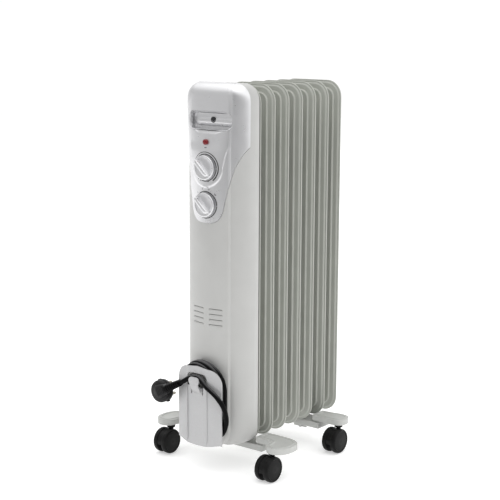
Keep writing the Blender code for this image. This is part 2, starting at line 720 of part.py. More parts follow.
LAYER_FRONT = 0.0012  # the winding's front and rear faces, behind the plate's middle line
LAYER_REAR = 0.0176
GLAND_TOP = 0.1600
GLAND_X = -0.0335
GLAND_Y = PLATE_Y + 0.0134 + (-GLAND_X - PLATE_FLAT_X) * math.tan(PLATE_BEND)
RELIEF_LENGTH = 0.026


def make_gland():
    """The boss that lets the cord out of the box, and its tapered relief, pointing down."""
    top = GLAND_TOP
    low, high = (GLAND_X - 0.0038, GLAND_Y - 0.0042, top - 0.016), (GLAND_X + 0.0036, -0.105, top)
    body = place("cord_gland", block(low, high, 0.001), BLACK_PLASTIC)
    cover = place("gland_cover_tool", box_solid(GAP, BOX_REAR_Y), helper=True)
    combine(body, cover, "DIFFERENCE")
    root = (GLAND_X, GLAND_Y, top - 0.015)
    bm = bmesh.new()
    bmesh.ops.create_cone(bm, cap_ends=True, segments=12, radius1=0.0043, radius2=0.0049,
                          depth=RELIEF_LENGTH)
    bmesh.ops.translate(bm, vec=(root[0], root[1], root[2] - RELIEF_LENGTH / 2), verts=bm.verts)
    mesh = bpy.data.meshes.new("relief")
    bm.to_mesh(mesh)
    bm.free()
    combine(body, place("gland_relief", mesh, helper=True), "UNION")


def make_winding():
    """The wound cord's outer shape: an oval ring that follows the bent plate."""
    outer = stadium(WINDING_STRAIGHT, WINDING_OUTER, WINDING_Z)
    inner = stadium(WINDING_STRAIGHT, WINDING_INNER, WINDING_Z)
    winding = place("cord_winding", prism([outer, inner], -0.15, -0.1, "Y"), BLACK_VINYL)
    layers = bent_slab(LAYER_FRONT, LAYER_REAR, 0.04, 0.20, 0.06)
    combine(winding, place("winding_layers", layers, helper=True), "INTERSECT")
    low = (GLAND_X - 0.0056, GLAND_Y - 0.0052, GLAND_TOP - 0.042)
    clear = block(low, (GLAND_X + 0.0060, -0.10, GLAND_TOP + 0.001))
    combine(winding, place("winding_gland_tool", clear, helper=True), "DIFFERENCE")


# The cord's loose stretch: up past the plate's right edge, across the plate, through the hook and
# out to the left.
CORD_ROUTE = (
    (0.0350, -0.1330, 0.0640),
    (0.0440, -0.1335, 0.0767),
    (0.0505, -0.1358, 0.0912),
    (0.0527, -0.1400, 0.1060),
    (0.0522, -0.1450, 0.1195),
    (0.0475, -0.1490, 0.1300),
    (0.0400, -0.1507, 0.1380),
    (0.0310, -0.1517, 0.1440),
    (0.0225, -0.1533, 0.1498),
    (0.0145, -0.1521, 0.1562),
    (0.0070, -0.1503, 0.1600),
    (0.0000, -0.1496, 0.1612),
    (-0.0075, -0.1502, 0.1605),
    (-0.0150, -0.1519, 0.1575),
    (-0.0220, -0.1543, 0.1525),
    (-0.0291, -0.1555, 0.1482),
)
PLUG_CENTRE = Vector((-0.0790, -0.1560, 0.1228))
PLUG_RADIUS = 0.0185
PLUG_DEPTH = 0.0190
PIN_SPACING = 0.019
PLUG_TILT = math.radians(27)
RELIEF_ROOT = 0.0220  # from the plug's axis to the start of its strain relief


def make_cord():
    tube("power_cord", CORD_ROUTE, CORD_DIAMETER / 2, BLACK_VINYL)
    along = Vector((math.cos(PLUG_TILT), 0, math.sin(PLUG_TILT)))
    end = Vector(CORD_ROUTE[-1])
    start = end - along * 2 * GAP
    root = PLUG_CENTRE + along * RELIEF_ROOT
    axis = (start - root).normalized()
    length = (start - root).length
    profile = [(0, length), (0.0052, length), (0.0066, 0), (0, 0)]
    turned("plug_strain_relief", profile, root, axis, BLACK_VINYL, 14)


def make_plug():
    """An angled plug: a disc with its pins towards +Y, and a neck towards the cord."""
    front = PLUG_DEPTH
    profile = [(0, front), (PLUG_RADIUS - 0.0025, front), (PLUG_RADIUS, front - 0.0025),
               (PLUG_RADIUS, 0.003), (PLUG_RADIUS - 0.0035, 0), (0, 0)]
    body = turned("plug_body", profile, PLUG_CENTRE, (0, 1, 0), BLACK_PLASTIC, 24)
    along = Vector((math.cos(PLUG_TILT), 0, math.sin(PLUG_TILT)))
    neck = block((0.004, 0.0005, -0.0088), (RELIEF_ROOT - 0.0012, 0.0135, 0.0088), 0.003)
    turn = Matrix.Rotation(-PLUG_TILT, 4, "Y")
    neck.transform(Matrix.Translation(PLUG_CENTRE + Vector((0, -0.0060, 0))) @ turn)
    combine(body, place("plug_neck", neck, helper=True), "UNION")
    across = Vector((-along.z, 0, along.x))
    for i, side in enumerate((-1, 1)):
        centre = PLUG_CENTRE + across * side * PIN_SPACING / 2
        start = centre + Vector((0, front + GAP, 0))
        profile = [(0, 0.019), (0.0016, 0.019), (0.0024, 0.0175), (0.0024, 0), (0, 0)]
        turned(f"plug_pin_{i + 1}", profile, start, (0, 1, 0), NICKEL, 12)


# ---- feet and casters ------------------------------------------------------------------------------
FLARED_PAD = (
    (0.0625, -0.0140), (0.0980, -0.0150), (0.1200, -0.0120), (0.1340, -0.0020), (0.1385, 0.0150),
    (0.1360, 0.0320), (0.1260, 0.0440), (0.1130, 0.0460), (0.1020, 0.0380),
    (0.0985, 0.0240), (0.0930, 0.0165), (0.0625, 0.0150),
)
STRAIGHT_PAD = (
    (0.0625, -0.0150), (0.0800, -0.0165), (0.0950, -0.0195), (0.1070, -0.0195), (0.1160, -0.0150),
    (0.1210, -0.0070), (0.1220, 0.0020), (0.1190, 0.0110), (0.1100, 0.0160), (0.0950, 0.0168),
    (0.0800, 0.0165), (0.0625, 0.0150),
)


def make_foot(name, middle, pad):
    """A rail under the fins with a pad at each end. The pad's outline is (out, towards -Y)."""
    low = (-RAIL_HALF_LENGTH, middle - RAIL_WIDTH / 2, RAIL_BOTTOM)
    high = (RAIL_HALF_LENGTH, middle + RAIL_WIDTH / 2, RAIL_TOP)
    foot = place(name, block(low, high, 0.0015), FOOT_PAINT)
    curve = smooth_path([(x, y, 0) for x, y in pad], 2)
    for side in (-1, 1):
        outline = [(side * p.x, middle - p.y) for p in curve]
        plate = prism([outline], FOOT_UNDER, FOOT_TOP, "Z")
        combine(foot, place(f"{name}_pad_{side}", plate, helper=True), "UNION")
        web_low = (min(side * 0.0635, side * 0.075), middle - 0.013, RAIL_TOP - 0.002)
        web_high = (max(side * 0.0635, side * 0.075), middle + 0.013, FOOT_UNDER + 0.002)
        web = place(f"{name}_web_{side}", block(web_low, web_high), helper=True)
        combine(foot, web, "UNION")
    return foot


UBOLT_RADIUS = 0.0025
THREAD_REACH = 0.010  # how far the U bolt's ends stand out under the rail
NUT_RADIUS = 0.0055
NUT_HEIGHT = 0.007
WING_HALF = 0.013
UBOLT_HALF = HEADER_RADIUS + GAP + UBOLT_RADIUS


def make_clamp(name, foot, y):
    """A U bolt over the bottom header, down through the rail, and its two wing nuts."""
    end = RAIL_BOTTOM - THREAD_REACH
    bend = arc((0, LOW_HEADER), UBOLT_HALF, 0, 180, 10)
    points = [(UBOLT_HALF, y, end)] + [(x, y, z) for x, z in bend] + [(-UBOLT_HALF, y, end)]
    tube(f"{name}_u_bolt", points, UBOLT_RADIUS, STEEL)
    for i, side in enumerate((-1, 1)):
        x = side * UBOLT_HALF
        hole = rod((x, y, RAIL_BOTTOM - 0.01), (x, y, RAIL_TOP + 0.01), UBOLT_RADIUS + 0.0005, 14)
        combine(foot, place(f"{name}_hole_{i}", hole, helper=True), "DIFFERENCE")
        top = RAIL_BOTTOM - GAP
        barrel = rod((x, y, top - NUT_HEIGHT), (x, y, top), NUT_RADIUS, 14)
        nut = place(f"{name}_wing_nut_{i + 1}", barrel, STEEL)
        low = (x - WING_HALF, y - 0.0012, top - NUT_HEIGHT - 0.0015)
        wings = block(low, (x + WING_HALF, y + 0.0012, top - 0.001))
        combine(nut, place(f"{name}_wings_{i}", wings, helper=True), "UNION")
        thread = rod((x, y, top - 0.02), (x, y, top + 0.01), UBOLT_RADIUS + GAP, 14)
        combine(nut, place(f"{name}_thread_{i}", thread, helper=True), "DIFFERENCE")


AXLE_RADIUS = 0.0030
STEM_RADIUS = 0.0040
HOOD_HALF = 0.0042


def make_caster(name, x, y, foot):
    """A stem with its hood, an axle and two wheels, trailing towards -Y."""
    stem_hole = rod((x, y, 0.02), (x, y, FOOT_TOP - 0.002), STEM_RADIUS + GAP, 14)
    combine(foot, place(f"{name}_socket", stem_hole, helper=True), "DIFFERENCE")
    wheel_y = y - CASTER_TRAIL
    hood_radius = WHEEL_RADIUS - 0.0010
    dome = arc((wheel_y, WHEEL_RADIUS), hood_radius, -10, 190, 12)
    hood = place(f"{name}_hood", prism([dome], x - HOOD_HALF, x + HOOD_HALF, "X"), BLACK_PLASTIC)
    stem = rod((x, y, 0.030), (x, y, FOOT_TOP - 0.004), STEM_RADIUS, 14)
    combine(hood, place(f"{name}_stem", stem, helper=True), "UNION")
    collar = rod((x, y, 2 * WHEEL_RADIUS + GAP), (x, y, FOOT_UNDER - 0.0005), 0.0070, 16)
    combine(hood, place(f"{name}_collar", collar, helper=True), "UNION")
    bore = rod((x - 0.02, wheel_y, WHEEL_RADIUS), (x + 0.02, wheel_y, WHEEL_RADIUS),
               AXLE_RADIUS + GAP, 14)
    combine(hood, place(f"{name}_bore", bore, helper=True), "DIFFERENCE")
    reach = CASTER_WIDTH / 2 - 0.001
    ends = [(x + side * reach, wheel_y, WHEEL_RADIUS) for side in (-1, 1)]
    place(f"{name}_axle", rod(*ends, AXLE_RADIUS, 14), STEEL)
    rim, bore_radius = WHEEL_RADIUS, AXLE_RADIUS + GAP
    profile = [
        (bore_radius, WHEEL_WIDTH), (rim - 0.003, WHEEL_WIDTH), (rim, WHEEL_WIDTH - 0.003), (rim, 0),
        (bore_radius, 0),
    ]
    profile.append(profile[0])
    for side, word in ((-1, "left"), (1, "right")):
        at = (x + side * (CASTER_WIDTH / 2 - WHEEL_WIDTH), wheel_y, WHEEL_RADIUS)
        turned(f"{name}_{word}_wheel", profile, at, (side, 0, 0), BLACK_PLASTIC, 18)


def make_running_gear():
    front_middle = FIN_FIRST_Y + FIN_PITCH / 2 - 0.0110
    rear_middle = FIN_FIRST_Y + 4.5 * FIN_PITCH
    for name, middle, pad, stem_y, gap in (
        ("front", front_middle, FLARED_PAD, FRONT_STEM_Y, 0.5),
        ("rear", rear_middle, STRAIGHT_PAD, REAR_STEM_Y, 4.5),
    ):
        foot = make_foot(f"{name}_foot", middle, pad)
        make_clamp(name, foot, FIN_FIRST_Y + gap * FIN_PITCH)
        for side, word in ((-1, "left"), (1, "right")):
            make_caster(f"{name}_{word}_caster", side * CASTER_X, stem_y, foot)


make_fins()
make_header_fittings()
make_cover()
make_panel()
make_grip()
make_controls()
make_box_inside()
make_winder()
make_gland()
make_winding()
make_cord()
make_plug()
make_running_gear()
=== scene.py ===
"""Looks for the oil filled radiator heater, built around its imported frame. Metres, +Z up, front -Y."""

import json
import math

import bmesh
import bpy
import numpy as np
from mathutils import Matrix, Vector
from mathutils.geometry import delaunay_2d_cdt

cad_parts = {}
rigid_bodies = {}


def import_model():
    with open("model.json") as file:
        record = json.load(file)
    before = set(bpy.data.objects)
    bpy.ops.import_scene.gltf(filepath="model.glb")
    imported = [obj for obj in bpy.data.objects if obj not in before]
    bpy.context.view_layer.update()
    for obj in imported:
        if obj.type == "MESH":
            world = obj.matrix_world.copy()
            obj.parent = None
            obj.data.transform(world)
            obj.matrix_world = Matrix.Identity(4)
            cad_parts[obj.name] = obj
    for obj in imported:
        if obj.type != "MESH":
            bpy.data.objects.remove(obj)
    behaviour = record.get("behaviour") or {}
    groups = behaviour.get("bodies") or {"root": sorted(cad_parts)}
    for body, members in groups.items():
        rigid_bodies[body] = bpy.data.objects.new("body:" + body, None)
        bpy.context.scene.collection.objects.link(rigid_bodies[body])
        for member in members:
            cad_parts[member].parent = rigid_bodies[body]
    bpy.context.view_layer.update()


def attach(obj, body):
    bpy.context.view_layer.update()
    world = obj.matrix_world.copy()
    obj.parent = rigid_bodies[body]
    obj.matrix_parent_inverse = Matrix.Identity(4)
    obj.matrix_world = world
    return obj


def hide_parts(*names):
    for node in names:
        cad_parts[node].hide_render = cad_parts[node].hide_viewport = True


for old in list(bpy.data.objects):
    bpy.data.objects.remove(old)

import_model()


def linked(name, data):
    """A new object in the scene's collection."""
    made = bpy.data.objects.new(name, data)
    bpy.context.scene.collection.objects.link(made)
    return made


# ---- camera -----------------------------------------------------------------------------------
CAMERA_AT = Vector((1.31474, -1.64262, 0.72856))
CAMERA_YAW, CAMERA_DIP, CAMERA_ROLL = (math.radians(a) for a in (38.945, 10.301, 0.262))
CAMERA_LENS = 92.99


def make_camera():
    data = bpy.data.cameras.new("camera")
    data.sensor_width = 36
    data.lens = CAMERA_LENS
    data.clip_start, data.clip_end = 0.05, 50
    made = linked("camera", data)
    forward = Vector((
        -math.sin(CAMERA_YAW) * math.cos(CAMERA_DIP),
        math.cos(CAMERA_YAW) * math.cos(CAMERA_DIP),
        -math.sin(CAMERA_DIP),
    ))
    right = Vector((math.cos(CAMERA_YAW), math.sin(CAMERA_YAW), 0))
    up = right.cross(forward)
    c, s = math.cos(CAMERA_ROLL), math.sin(CAMERA_ROLL)
    right, up = right * c + up * s, up * c - right * s
    axes = Matrix((right, up, -forward)).transposed().to_4x4()
    made.matrix_world = Matrix.Translation(CAMERA_AT) @ axes
    bpy.context.scene.camera = made


make_camera()


# ---- materials --------------------------------------------------------------------------------
def srgb(r, g, b):
    """Linear colour from 0-255 display values."""
    return tuple(((c / 255 + 0.055) / 1.055) ** 2.4 if c > 10 else c / 255 / 12.92 for c in (r, g, b))


def add_node(tree, kind, inputs, **settings):
    """A shader node. Each input gets a value, or a link from another node's output."""
    node = tree.nodes.new(kind)
    for key, value in settings.items():
        setattr(node, key, value)
    for key, value in inputs.items():
        if isinstance(value, bpy.types.NodeSocket):
            tree.links.new(value, node.inputs[key])
        else:
            node.inputs[key].default_value = value
    return node


def ranged(tree, source, span, low, high, kind="LINEAR"):
    """A source's values over a span, taken to the range from low to high."""
    inputs = {"Value": source, "From Min": span[0], "From Max": span[1], "To Min": low, "To Max": high}
    return add_node(tree, "ShaderNodeMapRange", inputs, interpolation_type=kind).outputs["Result"]


def mixed(tree, a, b, factor, blend="MIX"):
    """Two colours mixed by a factor."""
    inputs = {"A": a, "B": b, "Factor": factor}
    return add_node(tree, "ShaderNodeMix", inputs, data_type="RGBA", blend_type=blend).outputs["Result"]


def scaled(colour, factor, lift=0.0):
    return (*(min(1, c * factor + lift) for c in colour), 1)


COAT_ROUGHNESS = 0.12
NOISE_SPAN = (0.3, 0.7)  # where most of a noise texture's values lie
FLAKE_SIZE, FLAKE_COLOUR = 0.0005, 0.25
WORN_SPAN = (0.52, 0.60)  # pointiness of an edge, from flat to sharp
# the span of facing up over which the painted top sheen fades in
TOP_SHEEN_SPAN = (0.45, 1.0)  # how far a surface faces up


def finish_of(name, colour, rough, metallic=0.0, coat=0.0, specular=0.5, grain=0.1, grain_size=0.0006,
              mottle=0.04, mottle_size=0.03, rough_vary=0.05, flakes=0.0, wear=0.0, streak=(1, 1, 1),
              painted_top_sheen=None):
    """A finish with fine grain and slow changes of colour and gloss.

    It can also have metal flakes, paler worn edges and a painted sheen: a paler colour where it faces up,
    which stands in for the light from above.
    """
    made = bpy.data.materials.new(name)
    made.use_nodes = True
    tree = made.node_tree
    shader = tree.nodes["Principled BSDF"]
    for key, value in (("Metallic", metallic), ("Coat Weight", coat), ("Coat Roughness", COAT_ROUGHNESS),
                       ("Specular IOR Level", specular)):
        shader.inputs[key].default_value = value
    place = tree.nodes.new("ShaderNodeTexCoord").outputs["Object"]
    along = add_node(tree, "ShaderNodeMapping", {"Vector": place, "Scale": streak}).outputs["Vector"]

    def noise(size, detail, source=place):
        inputs = {"Vector": source, "Scale": 1 / size, "Detail": detail}
        return add_node(tree, "ShaderNodeTexNoise", inputs).outputs["Fac"]

    result = mixed(tree, scaled(colour, 1 - mottle), scaled(colour, 1 + mottle),
                   ranged(tree, noise(mottle_size, 3), NOISE_SPAN, 0, 1))
    if flakes:
        cells = add_node(tree, "ShaderNodeTexVoronoi", {"Vector": place, "Scale": 1 / FLAKE_SIZE})
        sparkle = mixed(tree, result, cells.outputs["Color"], flakes, "SOFT_LIGHT")
        hue = add_node(tree, "ShaderNodeHueSaturation", {"Color": sparkle, "Saturation": FLAKE_COLOUR})
        result = hue.outputs["Color"]
    if wear:
        edges = tree.nodes.new("ShaderNodeNewGeometry").outputs["Pointiness"]
        worn = ranged(tree, edges, WORN_SPAN, 0, wear)
        result = mixed(tree, result, scaled(colour, 1.35, 0.02), worn)
    # painted sheen: faces that point up are mixed towards a pale grey that stands in for the light from
    # above
    if painted_top_sheen:
        facing = tree.nodes.new("ShaderNodeNewGeometry").outputs["Normal"]
        split = add_node(tree, "ShaderNodeSeparateXYZ", {"Vector": facing})
        painted_sheen_mask = ranged(tree, split.outputs["Z"], TOP_SHEEN_SPAN, 0, 1, "SMOOTHSTEP")
        result = mixed(tree, result, (*painted_top_sheen, 1), painted_sheen_mask)
    gloss = ranged(tree, noise(mottle_size * 0.4, 4), NOISE_SPAN, rough - rough_vary, rough + rough_vary)
    bump = add_node(tree, "ShaderNodeBump", {
        "Height": noise(grain_size, 2, along), "Strength": grain, "Distance": grain_size * 0.5})
    for source, key in ((result, "Base Color"), (gloss, "Roughness"), (bump.outputs["Normal"], "Normal")):
        tree.links.new(source, shader.inputs[key])
    return made


FIN_PAINT = finish_of("fin_enamel", srgb(176, 178, 171), 0.40, coat=0.1, grain=0.12, grain_size=0.0012,
                      mottle=0.03, wear=0.2)
BOX_PAINT = finish_of("box_enamel", srgb(186, 186, 184), 0.38, coat=0.1, grain=0.10, grain_size=0.0011,
                      mottle=0.02)
SILVER = finish_of("silver_paint", srgb(214, 214, 220), 0.30, metallic=0.85, coat=0.15, grain=0.03,
                   grain_size=0.0007, mottle=0.012, flakes=0.06, rough_vary=0.03)
PLATE = finish_of("plate_silver", srgb(178, 178, 181), 0.42, metallic=0.25, coat=0.1, grain=0.10,
                  grain_size=0.0006, mottle=0.02, flakes=0.15)
FOOT_PAINT = finish_of("foot_paint", srgb(183, 184, 181), 0.45, grain=0.15, grain_size=0.0009, mottle=0.03,
                       wear=0.2)
BLACK = finish_of("black_nylon", srgb(15, 15, 15), 0.42, grain=0.25, grain_size=0.0005, mottle=0.15,
                  specular=0.13, wear=0.25)
# the cord's pale top is a painted sheen that stands in for the light from above on its upper side
VINYL = finish_of("black_vinyl", srgb(10, 10, 11), 0.36, grain=0.10, grain_size=0.0007, mottle=0.15,
                  specular=0.06, painted_top_sheen=srgb(92, 92, 93))
PLUG = finish_of("plug_vinyl", srgb(26, 26, 27), 0.45, grain=0.25, grain_size=0.0006, mottle=0.15,
                 wear=0.2, specular=0.2)
# black for the printed marks, and also for the rings of painted shade round the knobs
PRINT_AND_SHADE_BLACK = finish_of("black_print_and_shade", srgb(26, 26, 28), 0.5, grain=0.05, mottle=0.1)
STEEL = finish_of("plated_steel", srgb(178, 178, 176), 0.30, metallic=1.0, grain=0.12, grain_size=0.0008,
                  mottle=0.06, streak=(1, 1, 8))
SHEET = finish_of("zinc_sheet", srgb(160, 162, 162), 0.40, metallic=0.9, grain=0.12, grain_size=0.002,
                  mottle=0.12, mottle_size=0.012)
NICKEL = finish_of("nickel_brass", srgb(200, 196, 184), 0.25, metallic=1.0, grain=0.06, mottle=0.05)
PALE = finish_of("pale_moulding", srgb(226, 221, 208), 0.5, grain=0.2, mottle=0.04)
# dark metal for the grip screw and its seat: painted shade of the hole the screw sits in
SCREW_HOLE_SHADE = finish_of("screw_hole_shade", srgb(60, 60, 62), 0.35, metallic=0.8, grain=0.1, mottle=0.1)


def lens_material():
    made = finish_of("red_lens", srgb(122, 6, 18), 0.20, coat=0.25, specular=0.4, grain=0.05, mottle=0.06)
    shader = made.node_tree.nodes["Principled BSDF"]
    for key, value in (("Weight", 0.15), ("Scale", 0.002), ("Radius", (1.0, 0.1, 0.1))):
        shader.inputs[f"Subsurface {key}"].default_value = value
    return made


LENS = lens_material()


# ---- mesh helpers -------------------------------------------------------------------------------
def piece(name, mesh, look, body="root", replaces=None, angle=40.0):
    """A mesh as a shown piece that rides on a body. Edges sharper than the angle stay crisp."""
    made = linked(name, mesh)
    mesh.materials.append(look)
    mesh.shade_smooth()
    mesh.set_sharp_from_angle(angle=math.radians(angle))
    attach(made, body)
    if replaces:
        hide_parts(replaces)
    return made


def mesh_of(points, faces):
    mesh = bpy.data.meshes.new("mesh")
    mesh.from_pydata([tuple(map(float, p)) for p in points], [], [tuple(map(int, f)) for f in faces])
    mesh.validate()
    return mesh


def written(bm, mesh):
    bm.to_mesh(mesh)
    bm.free()
    return mesh


def joined(*meshes):
    bm = bmesh.new()
    for mesh in meshes:
        bm.from_mesh(mesh)
    return written(bm, bpy.data.meshes.new("joined"))


def outward(mesh):
    """The mesh with its doubled points merged and all its faces turned outward."""
    bm = bmesh.new()
    bm.from_mesh(mesh)
    bmesh.ops.remove_doubles(bm, verts=bm.verts, dist=1e-7)
    bmesh.ops.recalc_face_normals(bm, faces=bm.faces)
    return written(bm, mesh)


def ring_faces(rows, count):
    """Faces between closed rows of points, each row as long as the next."""
    return [(a + j, a + (j + 1) % count, a + count + (j + 1) % count, a + count + j)
            for a in range(0, (rows - 1) * count, count) for j in range(count)]


def whole_turn(steps, first=0.0):
    return [2 * math.pi * (i + first) / steps for i in range(steps)]


def loops_mesh(loops, cap_first=True, cap_last=True):
    """A skin over closed loops of equal length, with flat caps."""
    count = len(loops[0])
    faces = ring_faces(len(loops), count)
    if cap_first:
        faces.append(tuple(reversed(range(count))))
    if cap_last:
        faces.append(tuple((len(loops) - 1) * count + i for i in range(count)))
    return outward(mesh_of([p for loop in loops for p in loop], faces))


def lathe(profile, at, towards, steps=48):
    """(radius, height) pairs turned about a direction. Ends off the axis are left open."""
    turn = Vector((0, 0, 1)).rotation_difference(Vector(towards)).to_matrix()
    loops = []
    for radius, height in profile:
        radius = max(radius, 1e-6)
        loops.append([Vector(at) + turn @ Vector((radius * math.cos(a), radius * math.sin(a), height))
                      for a in whole_turn(steps)])
    return loops_mesh(loops, profile[0][0] < 1e-5, profile[-1][0] < 1e-5)


def arc(centre, radius, first, last, steps):
    return [
        (centre[0] + radius * math.cos(a), centre[1] + radius * math.sin(a))
        for a in (math.radians(first + (last - first) * i / steps) for i in range(steps + 1))
    ]


def rounded(low, high, radius, steps=8):
    (x0, y0), (x1, y1) = low, high
    corners = (((x1 - radius, y0 + radius), -90), ((x1 - radius, y1 - radius), 0),
               ((x0 + radius, y1 - radius), 90), ((x0 + radius, y0 + radius), 180))
    return [p for centre, first in corners for p in arc(centre, radius, first, first + 90, steps)]


def smooth_path(points, per_span):
    """A Catmull-Rom curve through the points."""
    points = [Vector(p) for p in points]
    ends = [2 * points[0] - points[1]] + points + [2 * points[-1] - points[-2]]
    made = []
    for a, b, c, d in zip(ends, ends[1:], ends[2:], ends[3:]):
        for i in range(per_span):
            t = i / per_span
            made.append(0.5 * (2 * b + (c - a) * t + (2 * a - 5 * b + 4 * c - d) * t**2
                               + (3 * b - a - 3 * c + d) * t**3))
    return made + [points[-1]]


def tube_mesh(points, radii, steps):
    """A tube along points with a radius at each, closed at both ends."""
    points = [Vector(p) for p in points]
    along = [(b - a).normalized() for a, b in zip(points, points[1:])]
    along.append(along[-1])
    side = along[0].orthogonal().normalized()
    loops = []
    for point, way, r in zip(points, along, radii):
        side = (side - way * side.dot(way)).normalized()
        up = way.cross(side)
        loops.append([point + (side * math.cos(a) + up * math.sin(a)) * r for a in whole_turn(steps)])
    return loops_mesh(loops)


def slab(outline, low, high):
    """An outline in front view as a solid between two places along Y."""
    return loops_mesh([[(x, y, z) for x, z in outline] for y in (low, high)])


def block(low, high, edge=0.0):
    (x0, y0, z0), (x1, y1, z1) = low, high
    bm = bmesh.new()
    bmesh.ops.create_cube(bm, size=1.0)
    bmesh.ops.scale(bm, vec=(x1 - x0, y1 - y0, z1 - z0), verts=bm.verts)
    bmesh.ops.translate(bm, vec=((x0 + x1) / 2, (y0 + y1) / 2, (z0 + z1) / 2), verts=bm.verts)
    if edge:
        bmesh.ops.bevel(bm, geom=bm.edges[:], offset=edge, segments=3, affect="EDGES", profile=0.5)
    return written(bm, bpy.data.meshes.new("block"))


def smoothstep(x):
    x = min(max(x, 0.0), 1.0)
    return x * x * (3 - 2 * x)


# ---- mains cord -----------------------------------------------------------------------------------
CORD_DIAMETER = 0.0080
PLATE_Y = -0.1480
PLATE_FLAT_X = 0.0205
PLATE_SLOPE = math.tan(math.radians(16))
WINDING_Z = 0.1215
WINDING_STRAIGHT = 0.0215
RING_INNER, RING_OUTER = 0.0326, 0.0407  # the turns' centre lines
LAYER_FRONT, LAYER_REAR = 0.0053, 0.0135  # behind the plate's middle
GLAND_X = -0.0335
GLAND_Y = PLATE_Y + 0.0134 + (-GLAND_X - PLATE_FLAT_X) * PLATE_SLOPE
GLAND_REAR_Y = -0.1190
GLAND_TOP = 0.1600
RELIEF_END_Z = GLAND_TOP - 0.015 - 0.026
CORD_ROUTE = (
    (0.0350, -0.1330, 0.0640), (0.0440, -0.1335, 0.0767), (0.0505, -0.1358, 0.0912),
    (0.0527, -0.1400, 0.1060), (0.0522, -0.1450, 0.1195), (0.0475, -0.1490, 0.1300),
    (0.0400, -0.1507, 0.1380), (0.0310, -0.1517, 0.1440), (0.0225, -0.1533, 0.1498),
    (0.0145, -0.1521, 0.1562), (0.0070, -0.1503, 0.1600), (0.0000, -0.1496, 0.1612),
    (-0.0075, -0.1502, 0.1605), (-0.0150, -0.1519, 0.1575), (-0.0220, -0.1543, 0.1525),
    (-0.0291, -0.1555, 0.1482),
)
PLUG_CENTRE = Vector((-0.0790, -0.1560, 0.1228))
PLUG_TILT = math.radians(27)
PIN_SPREAD = 0.0095
RELIEF_ROOT = 0.0208  # from the plug's centre
TURN_STEPS = 17  # points on each quarter of a turn
FIRST_QUARTER = 1.07  # where the cord from the gland joins the inner turn


def winding_point(quarter, ring, layer):
    """A point on the wound oval. quarter runs 0 left top, 1 left bottom, 2 right bottom, 3 right top."""
    lap = quarter % 4
    low, high = WINDING_Z - WINDING_STRAIGHT, WINDING_Z + WINDING_STRAIGHT
    if lap < 1:
        x, z = -ring, high + (low - high) * lap
    elif lap < 2:
        angle = math.pi + math.pi * (lap - 1)
        x, z = ring * math.cos(angle), low + ring * math.sin(angle)
    elif lap < 3:
        x, z = ring, low + (high - low) * (lap - 2)
    else:
        angle = math.pi * (lap - 3)
        x, z = ring * math.cos(angle), high + ring * math.sin(angle)
    bulge = 0.0007 * math.exp(-(((lap - 0.35) / 0.5) ** 2)) if lap < 2 and ring > 0.036 else 0
    y = PLATE_Y + layer + max(0, abs(x) - PLATE_FLAT_X) * PLATE_SLOPE
    return Vector((x - bulge, y, z))


def cord_points():
    """Four turns on the drum, out at the lower right, then the loose stretch to the plug."""
    laps = [(RING_INNER, LAYER_REAR), (RING_INNER, LAYER_FRONT), (RING_OUTER, LAYER_FRONT),
            (RING_OUTER, LAYER_REAR)]
    made = [Vector((GLAND_X, GLAND_Y, RELIEF_END_Z + rise)) for rise in (0.004, -0.003)]
    for lap, (ring, layer) in enumerate(laps):
        after = laps[min(lap + 1, 3)]
        for i in range(4 * TURN_STEPS):
            q = i / TURN_STEPS
            if lap == 0 and q < FIRST_QUARTER:
                continue
            share = smoothstep(q - 3) if lap < 3 else 0.0
            made.append(winding_point(q, ring + (after[0] - ring) * share,
                                      layer + (after[1] - layer) * share))
    for i in range(int(1.62 * TURN_STEPS)):
        q = i / TURN_STEPS
        share = smoothstep((q - 1.0) / 0.75)
        made.append(winding_point(q, RING_OUTER + 0.0074 * share, LAYER_REAR - 0.0022 * share))
    return smooth_path(made[::2] + [made[-1]], 2) + smooth_path(CORD_ROUTE, 4)


def make_cord():
    points = cord_points()
    kept = [points[0]]
    for p in points[1:]:
        if (p - kept[-1]).length > 0.0012:
            kept.append(p)
    for _ in range(3):
        kept = [kept[0]] + [(a + 2 * b + c) / 4 for a, b, c in zip(kept, kept[1:], kept[2:])] + [kept[-1]]
    curve = bpy.data.curves.new("mains_cord", "CURVE")
    curve.dimensions = "3D"
    curve.bevel_depth = CORD_DIAMETER / 2
    curve.bevel_resolution = 5
    curve.use_fill_caps = True
    spline = curve.splines.new("POLY")
    spline.points.add(len(kept) - 1)
    for point, co in zip(spline.points, kept):
        point.co = (*co, 1)
    curve.materials.append(VINYL)
    made = linked("mains_cord", curve)
    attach(made, "root")
    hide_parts("cord_winding", "power_cord")
    length = sum((b - a).length for a, b in zip(kept, kept[1:]))
    return made, length


def ribbed_relief(start, along, length, r0, r1, ribs, collar):
    """A tapered strain relief with ring grooves, from a collar at its thick end."""
    profile = [(0, 0), (collar, 0), (collar, 0.0022), (r0, 0.0028)]
    span = (length - 0.0046) / ribs
    for i in range(ribs):
        z = 0.0032 + span * i
        r = r0 + (r1 - r0) * (i + 0.5) / ribs
        cut = r - 0.0015
        profile += [(r, z), (r, z + span * 0.55), (cut, z + span * 0.62), (cut, z + span * 0.93)]
    profile += [(r1, length - 0.0012), (r1 - 0.0005, length - 0.0003), (0, length)]
    return lathe(profile, start, along, 24)


